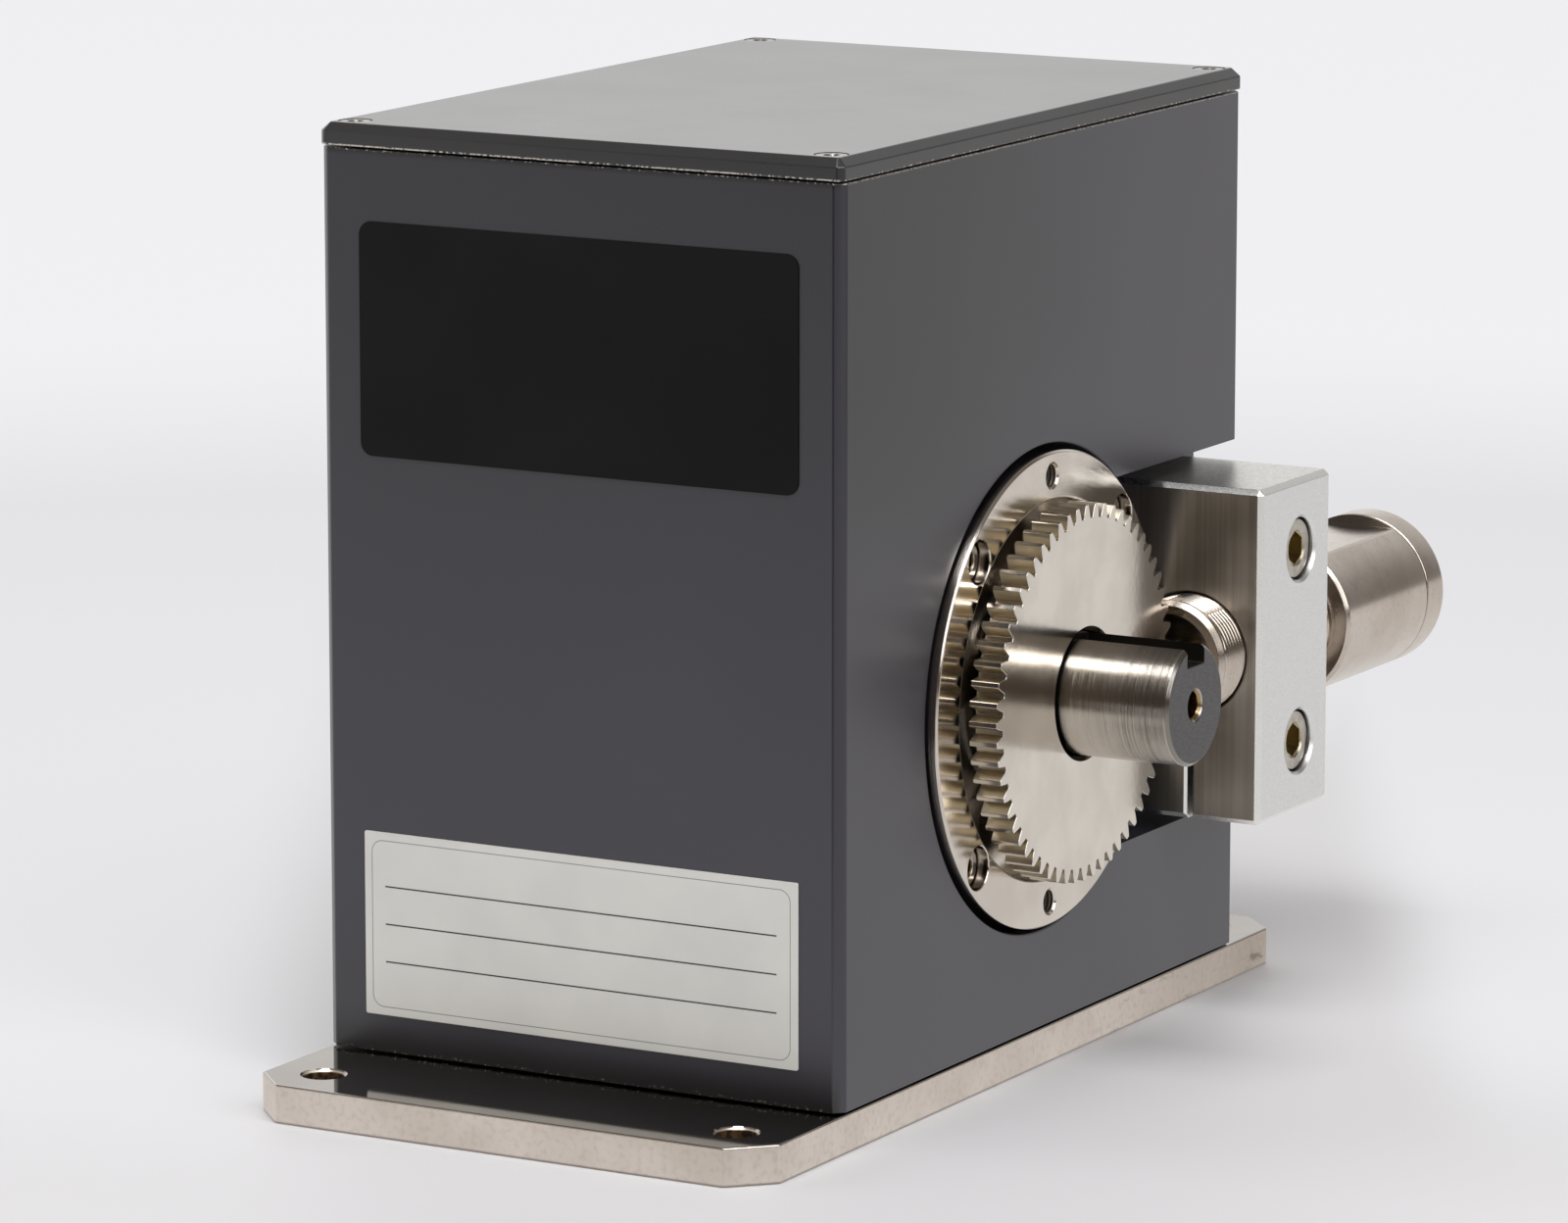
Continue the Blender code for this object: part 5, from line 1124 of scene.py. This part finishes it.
def make_gear(finish, steel):
    """Sixty-tooth wheel with a rear hub, a relief round the shaft and two grub screws."""
    mesh = toothed_disc(tooth_line(), TEETH, GEAR_FACE - GEAR_BACK, finish)
    mesh.transform(shift(0, 0, GEAR_BACK))
    mesh = soften(mesh, 0.06, 1, 50.0)
    mesh.transform(shaft_axis())
    axis = shaft_axis()
    hub = lathe(eased([(0, 45.5), (16.0, 45.5), (16.0, 53.0), (0, 53.0)], 0.4), TURN, axis)
    mesh = combine(mesh, hub, "UNION")
    mesh = combine(mesh, drill(axis, 44.0, GEAR_FACE, SHAFT_RADIUS + GAP, 0, TURN))
    mesh = combine(mesh, drill(axis, GEAR_FACE - 0.7, GEAR_FACE, RELIEF_RADIUS, 0.10, TURN))
    taps = [shift(48.0, 0, AXIS_Z) @ Matrix.Rotation(turn, 4, "X") for turn in (math.pi / 2, math.pi)]
    mesh = drill_all(mesh, [drill(place, 9.0, 16.0, 2.3, 0.2, 32) for place in taps])
    piece("speed_gear_fine", mesh, finish, ["speed_gear"], "rotor")
    grub = lathe(eased([(0, 10.3), (2.0, 10.3), (2.0, 15.7), (0, 15.7)], 0.25), 32)
    corner = 2.0 / math.sqrt(3)
    grub = combine(grub, rod(corner, 14.2, 18.0, sides=6))
    screws = stand_copies(grub, taps, steel)
    names = ["gear_grub_screw_1", "gear_grub_screw_2"]
    piece("gear_grub_screws", screws, steel, names, "rotor")


def socket_screw(sizes, countersunk=False):
    """Socket screw with its head's top at station zero, pointing down."""
    head, height, shank, length, flats, depth = sizes
    end = -height - length
    if countersunk:
        rim = [(0, 0), (head, 0), (head, -0.25), (shank, -height)]
    else:
        rim = [(0, 0), (head, 0), (head, -height), (shank, -height)]
    profile = eased([*rim, (shank, end + 0.4), (shank - 0.4, end), (0, end)], 0.35 if head > 3 else 0.12)
    mesh = lathe(profile, SCREW)
    corner = flats / math.sqrt(3)
    mouth = corner + 0.22
    socket = [(0, -depth - corner * 0.35), (corner, -depth), (corner, 0.0), (corner, OVER), (0, OVER)]
    mesh = combine(mesh, lathe(socket, 6))
    cone = [(0, -0.3), (corner - 0.08, -0.3), (mouth, 0.0), (mouth + OVER, OVER), (0, OVER)]
    return combine(mesh, lathe(cone, SCREW))


def numbered(stem, count):
    return [f"{stem}_{number}" for number in range(1, count + 1)]


def make_screws(steel):
    """Every outer screw of the fixed body, one mesh a kind."""
    flange_places = flange_screw_places("+X") + flange_screw_places("-X")
    flange_nodes = numbered("front_flange_screw", 4) + numbered("rear_flange_screw", 4)
    kinds = (
        ("flange_screws", FLANGE_SCREW, False, flange_places, flange_nodes),
        ("clamp_screws", CLAMP_SCREW, False, clamp_screw_places(), numbered("clamp_screw", 2)),
        ("cover_screws", COVER_SCREW, True, cover_screw_places(), numbered("cover_screw", 4)),
        ("base_screws", BASE_SCREW, True, base_screw_places(), numbered("base_screw", 4)),
    )
    for name, sizes, sunk, places, nodes in kinds:
        mesh = stand_copies(socket_screw(sizes, sunk), places, steel)
        piece(name, mesh, steel, nodes)


def make_clamp_block(finish):
    """Split clamp with a bore, a slit below it and two counterbored screws."""
    mesh = block(BLOCK_LOW, BLOCK_HIGH)
    mesh = bevel_where(mesh, 0.9, lambda edge: True)
    mesh = soften(mesh, 0.07, 2, 20.0)
    near, far = BLOCK_LOW[1], BLOCK_HIGH[1]
    radius, mouth = BARREL_RADIUS + GAP, BARREL_RADIUS + 2 * GAP
    bore = [
        (0, near - 2.7),
        (mouth + 2.7, near - 2.7),
        (mouth, near),
        (radius, near + GAP),
        (radius, far - GAP),
        (mouth, far),
        (mouth + 2.7, far + 2.7),
        (0, far + 2.7),
    ]
    mesh = combine(mesh, lathe(bore, TURN, PICKUP_AXIS))
    mesh = combine(mesh, block((PICKUP_X - 0.5, 36.0, 30.0), (PICKUP_X + 0.5, 70.0, 58.0)))
    groove = [(PICKUP_X - 1.95, near - 1.0), (PICKUP_X + 1.95, near - 1.0), (PICKUP_X, near + 0.95)]
    mesh = combine(mesh, prism(groove, 30.0, 53.5))
    sinks = [drill(place, -6.3, 0.9, 5.3, 0.5) for place in clamp_screw_places()]
    mesh = drill_all(mesh, sinks)
    holes = [drill(place, -30.0, -4.0, 3.3, 0, 32) for place in clamp_screw_places()]
    mesh = drill_all(mesh, holes)
    piece("clamp_block_fine", mesh, finish, ["clamp_block"])


def threaded_line(radius, start, end, per_pitch=8):
    """Profile points close enough together to carry a thread."""
    count = round(abs(end - start) / PITCH * per_pitch)
    return [(radius, start + (end - start) * step / count) for step in range(count + 1)]


def make_pickup(steel, brass, insert):
    """Threaded barrel and shell, brass pole, rear cap and contact insert."""
    head = [
        (0.0, 36.3),
        (7.8, 36.3),
        (7.8, 31.8),
        (BARREL_RADIUS - 0.8, 31.8),
        (BARREL_RADIUS, 32.6),
    ]
    tail = [
        (12.9, 72.9),
        (SHELL_RADIUS, 73.5),
        (SHELL_RADIUS, 104.2),
        (13.2, 104.5),
        (0.0, 104.5),
    ]
    barrel = threaded_line(BARREL_RADIUS, 32.8, 72.7)
    ends = eased([(BARREL_RADIUS, 72.9), *tail], 0.1)
    profile = [*eased(head, 0.08), *barrel, *ends]
    mesh = lathe(profile, 96)
    mesh = threaded(mesh, 32.7, 72.6, PITCH, 0.5, 9.5, steel)
    mesh.transform(PICKUP_AXIS)
    flat = soften(block((40.0, 69.0, 74.6), (69.0, 103.9, 80.0)), 0.1, 2)
    mesh = combine(mesh, flat)
    piece("pickup_body_fine", mesh, steel, ["pickup_body"], "pickup", math.radians(50))
    pole = eased([(0, 36.0), (2.5, 36.0), (2.2, 35.2), (2.2, 32.4), (0, 32.4)], 0.15)
    mesh = lathe(pole, SCREW, PICKUP_AXIS)
    piece("pickup_pole_fine", mesh, brass, ["pickup_pole"], "pickup")
    rim, wide, start, end = 8.9, SHELL_RADIUS, 104.8, 112.1
    cap = [(wide - 1.2, end), (wide, end - 1.2), (wide, start), (rim, start), (rim, end)]
    mesh = lathe(eased(cap, 0.35, True), TURN, PICKUP_AXIS, True)
    piece("pickup_cap_fine", mesh, steel, ["pickup_cap"], "pickup")
    mesh = pin_insert(PICKUP_AXIS, 8.6, 104.8, 1.6, 4, 1.6)
    piece("pickup_insert_fine", mesh, insert, ["pickup_insert"], "pickup")


def pin_insert(place, radius, start, thickness, pins, length):
    """Round contact insert with round-ended pins standing on its outer side."""
    end = start + thickness
    mesh = lathe(eased([(0, end), (radius, end), (radius, start), (0, start)], 0.15), HOLE, place)
    contacts = []
    for x, y in on_circle(4.2, pins, math.pi / pins):
        tip, foot = end + length, end - thickness / 2
        profile = [(0, tip), (0.8, tip), (0.8, foot), (0, foot)]
        contacts.append(lathe(eased(profile, 0.4), 24, place @ shift(x, y, 0)))
    return combine(mesh, joined(contacts), "UNION")


def make_connector(steel, insert):
    """Rear receptacle: flanged shell with a threaded mouth, and its contacts."""
    mouth = threaded_line(9.5, 84.0, 75.0)
    rest = [(9.5, 74.3), (13.0, 74.3), (13.0, 71.8), (9.5, 71.8), (9.5, 60.5), (7.9, 60.5)]
    profile = [(7.9, 84.8), (9.2, 84.8), *mouth, *eased(rest, 0.3)]
    mesh = lathe(profile, 96, None, True)
    mesh = threaded(mesh, 75.0, 84.0, PITCH, 0.45, 9.0, steel)
    mesh.transform(CONNECTOR_AXIS)
    name = "signal_connector_shell"
    piece("signal_connector_fine", mesh, steel, [name], angle=math.radians(50))
    mesh = pin_insert(CONNECTOR_AXIS, 7.6, 71.8, 2.5, 6, 4.0)
    piece("signal_contacts_fine", mesh, insert, ["signal_connector_insert"])


def make_spacers_and_nut(finish, steel):
    """Spacers against the inner rings, and the slotted nut at the plain end."""
    for stem, side in (("front", "+X"), ("rear", "-X")):
        ring = eased([(10.3, 45.2), (12.5, 45.2), (12.5, 41.0), (10.3, 41.0)], 0.25, True)
        mesh = lathe(ring, TURN, shaft_axis(side), True)
        piece(f"{stem}_spacer_fine", mesh, finish, [f"{stem}_spacer"], "rotor")
    axis = shaft_axis("-X")
    ring = eased([(10.3, 49.5), (16.0, 49.5), (16.0, 45.5), (10.3, 45.5)], 0.5, True)
    mesh = lathe(ring, TURN, axis, True)
    slots = []
    for index in range(4):
        slot = block((14.0, -2.0, 40.0), (20.0, 2.0, 54.0))
        slot.transform(axis @ Matrix.Rotation(math.pi / 2 * index + math.pi / 4, 4, "Z"))
        slots.append(slot)
    mesh = drill_all(mesh, slots)
    piece("lock_nut_fine", mesh, steel, ["lock_nut"], "rotor")


def rounded_outline(half_x, low_z, high_z, radius):
    """Rectangle in the front face's plane with rounded corners."""
    centres = (
        (half_x - radius, high_z - radius, 0.0),
        (radius - half_x, high_z - radius, math.pi / 2),
        (radius - half_x, low_z + radius, math.pi),
        (half_x - radius, low_z + radius, 3 * math.pi / 2),
    )
    outline = []
    for x, z, first in centres:
        for step in range(9):
            angle = first + math.pi / 2 * step / 8
            outline.append((x + radius * math.cos(angle), z + radius * math.sin(angle)))
    return outline


def make_labels():
    """Two thin bare plates on the front face."""
    for name, low, high, radius, finish in (
        ("label_black", *BLACK_LABEL_Z, 2.2, black_label()),
        ("label_silver", *SILVER_LABEL_Z, 0.35, silver_label()),
    ):
        outline = [(x, -z) for x, z in rounded_outline(LABEL_HALF, low, high, radius)]
        mesh = prism(outline, -BODY_FRONT, 0.25 - BODY_FRONT, ALONG["-Y"] @ Matrix.Scale(-1, 4, (0, 1, 0)))
        piece(name, soften(mesh, 0.05, 2), finish, [])


def dress_inner_pieces(finishes):
    """Give every CAD node that still shows its own finish."""
    for name, node in NODES.items():
        for key, material in finishes.items():
            if key in name:
                node.data.materials.clear()
                node.data.materials.append(material)
                break


def make_pieces():
    """Every piece of the sensor."""
    steel = screw_metal()
    dark, light = rgb(186, 180, 172), rgb(200, 194, 186)
    shaft = turned_metal("ground_steel", dark, light, (0.14, 0.20), 3.2, shaft_tint)
    dark, light = rgb(204, 196, 188), rgb(216, 209, 201)
    flange = turned_metal("polished_nickel", dark, light, (0.08, 0.14), 0.8, disc_tint)
    dark, light = rgb(212, 205, 197), rgb(224, 218, 210)
    gear = turned_metal("satin_nickel", dark, light, (0.12, 0.20), 0.15, gear_tint, 1.6)
    pickup = stainless()
    brass = plain_metal("brass_pole", rgb(200, 166, 98), rgb(176, 138, 72))
    aluminium = milled_block()
    insert = insert_finish()
    make_plate(nickel_plate())
    make_housing(paint("dark_grey_paint", rgb(51, 50, 60), housing_chips, 0.27, shade=housing_shade))
    # The cover's top face is lightened by a painted sheen
    make_cover(paint("dark_cover_paint", rgb(40, 40, 42), cover_chips, 0.24, painted_top_sheen=rgb(82, 82, 84)))
    make_flange("+X", "front_flange_fine", "front_flange", flange)
    make_flange("-X", "rear_flange_fine", "rear_flange", flange)
    make_shaft(shaft)
    make_gear(gear, steel)
    make_spacers_and_nut(shaft, steel)
    make_screws(steel)
    make_clamp_block(aluminium)
    make_pickup(pickup, brass, insert)
    make_connector(pickup, insert)
    make_labels()
    dress_inner_pieces(
        {
            "cage": plain_metal("pressed_cage", rgb(190, 176, 150), rgb(170, 154, 126)),
            "ring": plain_metal("bearing_steel", rgb(204, 204, 204), rgb(188, 188, 188), (0.12, 0.2)),
            "twist_gear": gear,
            "bracket_screw": steel,
            "board_screw": steel,
            "bracket": aluminium,
            "twist_pickup": pickup,
            "circuit_board": board_finish(),
            "connector_nut": steel,
        }
    )


# Room, light and camera

DARK_ROOM = rgb(84, 75, 64)


def add_area(name, place, target, size, power):
    """A softbox that faces a point."""
    lamp = bpy.data.lights.new(name, "AREA")
    lamp.shape = "RECTANGLE"
    lamp.size, lamp.size_y = size
    lamp.energy = power
    thing = bpy.data.objects.new(name, lamp)
    thing.location = place
    aim = Vector(target) - Vector(place)
    thing.rotation_euler = aim.to_track_quat("-Z", "Y").to_euler()
    bpy.context.scene.collection.objects.link(thing)


def make_floor():
    """Pale floor that fades to the backdrop's tone, with painted light beside and behind the object;
    polished metal sees a dark patch in front.
    """
    mesh = bpy.data.meshes.new("floor")
    mesh.from_pydata([(-8, -8, 0), (8, -8, 0), (8, 8, 0), (-8, 8, 0)], [], [(0, 1, 2, 3)])
    floor = link(mesh, "floor")
    floor.location.z = -0.00005
    f = Finish("floor_white", 0.0)
    f.done(rgb(228, 228, 232), 0.6)
    camera = f.node("ShaderNodeLightPath", output="Is Camera Ray")
    glossy = camera.other("Is Glossy Ray")
    seen = f.largest(camera, camera.other("Is Transmission Ray"))
    lit = Wire(f, f.shader.outputs[0])
    pale = f.node("ShaderNodeEmission", {"Color": rgb(243, 243, 246), "Strength": 1.0})
    away = f.length(f.x, f.y)
    far = away.ramp(180.0, 800.0)
    view_sin, view_cos = 0.491, 0.871
    sideways = f.x * view_cos + f.y * view_sin
    depth = f.y * view_cos - f.x * view_sin
    # Painted light: the floor lighter beside the object and far behind it, so that its shadow keeps an edge
    beside = f.largest(sideways.ramp(96.0, 122.0), sideways.ramp(-60.0, -105.0))
    beside = beside * depth.ramp(-110.0, 0.0)
    painted_floor_light = f.largest(beside * 0.6, depth.ramp(150.0, 320.0) * 0.55)
    share = f.largest(0.02 + far * 0.92, painted_floor_light)
    shown = f.node("ShaderNodeMixShader", [seen * share, lit, pale])
    patch_sin, patch_cos = 0.45, 0.893
    along = f.x * patch_sin - f.y * patch_cos
    across = abs(f.x * patch_cos + f.y * patch_sin)
    distant = away.ramp(400.0, 1000.0)
    sheet = f.mix(distant, rgb(234, 232, 230), rgb(196, 194, 192))
    dark = along.ramp(140.0, 300.0) * (across / f.largest(along, 1.0)).ramp(0.62, 0.42)
    behind = f.y.ramp(0.0, 300.0)
    table = f.mix(dark, f.mix(behind, sheet, rgb(234, 232, 230)), DARK_ROOM)
    mirrored = f.node("ShaderNodeEmission", {"Color": table, "Strength": 1.0})
    mixed = f.node("ShaderNodeMixShader", [glossy, shown, mirrored])
    f.feed(f.tree.nodes["Material Output"].inputs["Surface"], mixed)
    mesh.materials.append(f.material)


def make_surroundings():
    """A bright sweep behind to the left, and a darker room elsewhere."""
    world = bpy.data.worlds.new("room")
    world.use_nodes = True
    net = Net(world.node_tree)
    towards = net.node("ShaderNodeTexCoord", output="Generated")
    x = net.node("ShaderNodeSeparateXYZ", [towards])
    y, z = x.other(1), x.other(2)
    sweep = (y * 0.87 - x * 0.49).ramp(0.45, 0.80)
    overhead = z.ramp(0.30, 0.85)
    low = net.mix(sweep, DARK_ROOM, rgb(240, 239, 238))
    high = net.mix(overhead, low, rgb(140, 135, 128))
    plain = net.tree.nodes["Background"]
    net.feed(plain.inputs["Color"], high)
    white = net.node("ShaderNodeBackground", {"Color": rgb(240, 240, 242), "Strength": 1.0})
    path = net.node("ShaderNodeLightPath", output="Is Camera Ray")
    both = net.node("ShaderNodeMixShader", [path, Wire(net, plain.outputs[0]), white])
    net.feed(net.tree.nodes["World Output"].inputs["Surface"], both)
    bpy.context.scene.world = world


def make_lamps():
    """A long softbox above in front, and weaker ones right, left and behind."""
    middle = (0.0, 0.0, 0.07)
    add_area("top_softbox", (0.40, -0.40, 1.10), (0.40, 0.0, 0.06), (1.2, 0.36), 9.5)
    add_area("right_softbox", (1.3, -0.2, 0.7), middle, (0.9, 0.9), 6.2)
    add_area("left_softbox", (-1.2, -0.7, 0.5), middle, (0.8, 0.8), 6)
    add_area("rear_softbox", (-0.9, 1.2, 0.9), middle, (0.9, 0.9), 2.0)


def make_camera():
    """Camera at the photograph's viewing angle."""
    data = bpy.data.cameras.new("camera")
    data.sensor_width = 36.0
    data.lens = 180.51
    camera = bpy.data.objects.new("camera", data)
    camera.location = (0.62623, -1.11248, 0.31084)
    camera.rotation_euler = Euler((math.radians(90 - 10.6224), 0.0, math.radians(29.4025)))
    bpy.context.scene.collection.objects.link(camera)
    bpy.context.scene.camera = camera
    bpy.context.scene.view_settings.view_transform = "Standard"


make_pieces()
make_floor()
make_surroundings()
make_lamps()
make_camera()
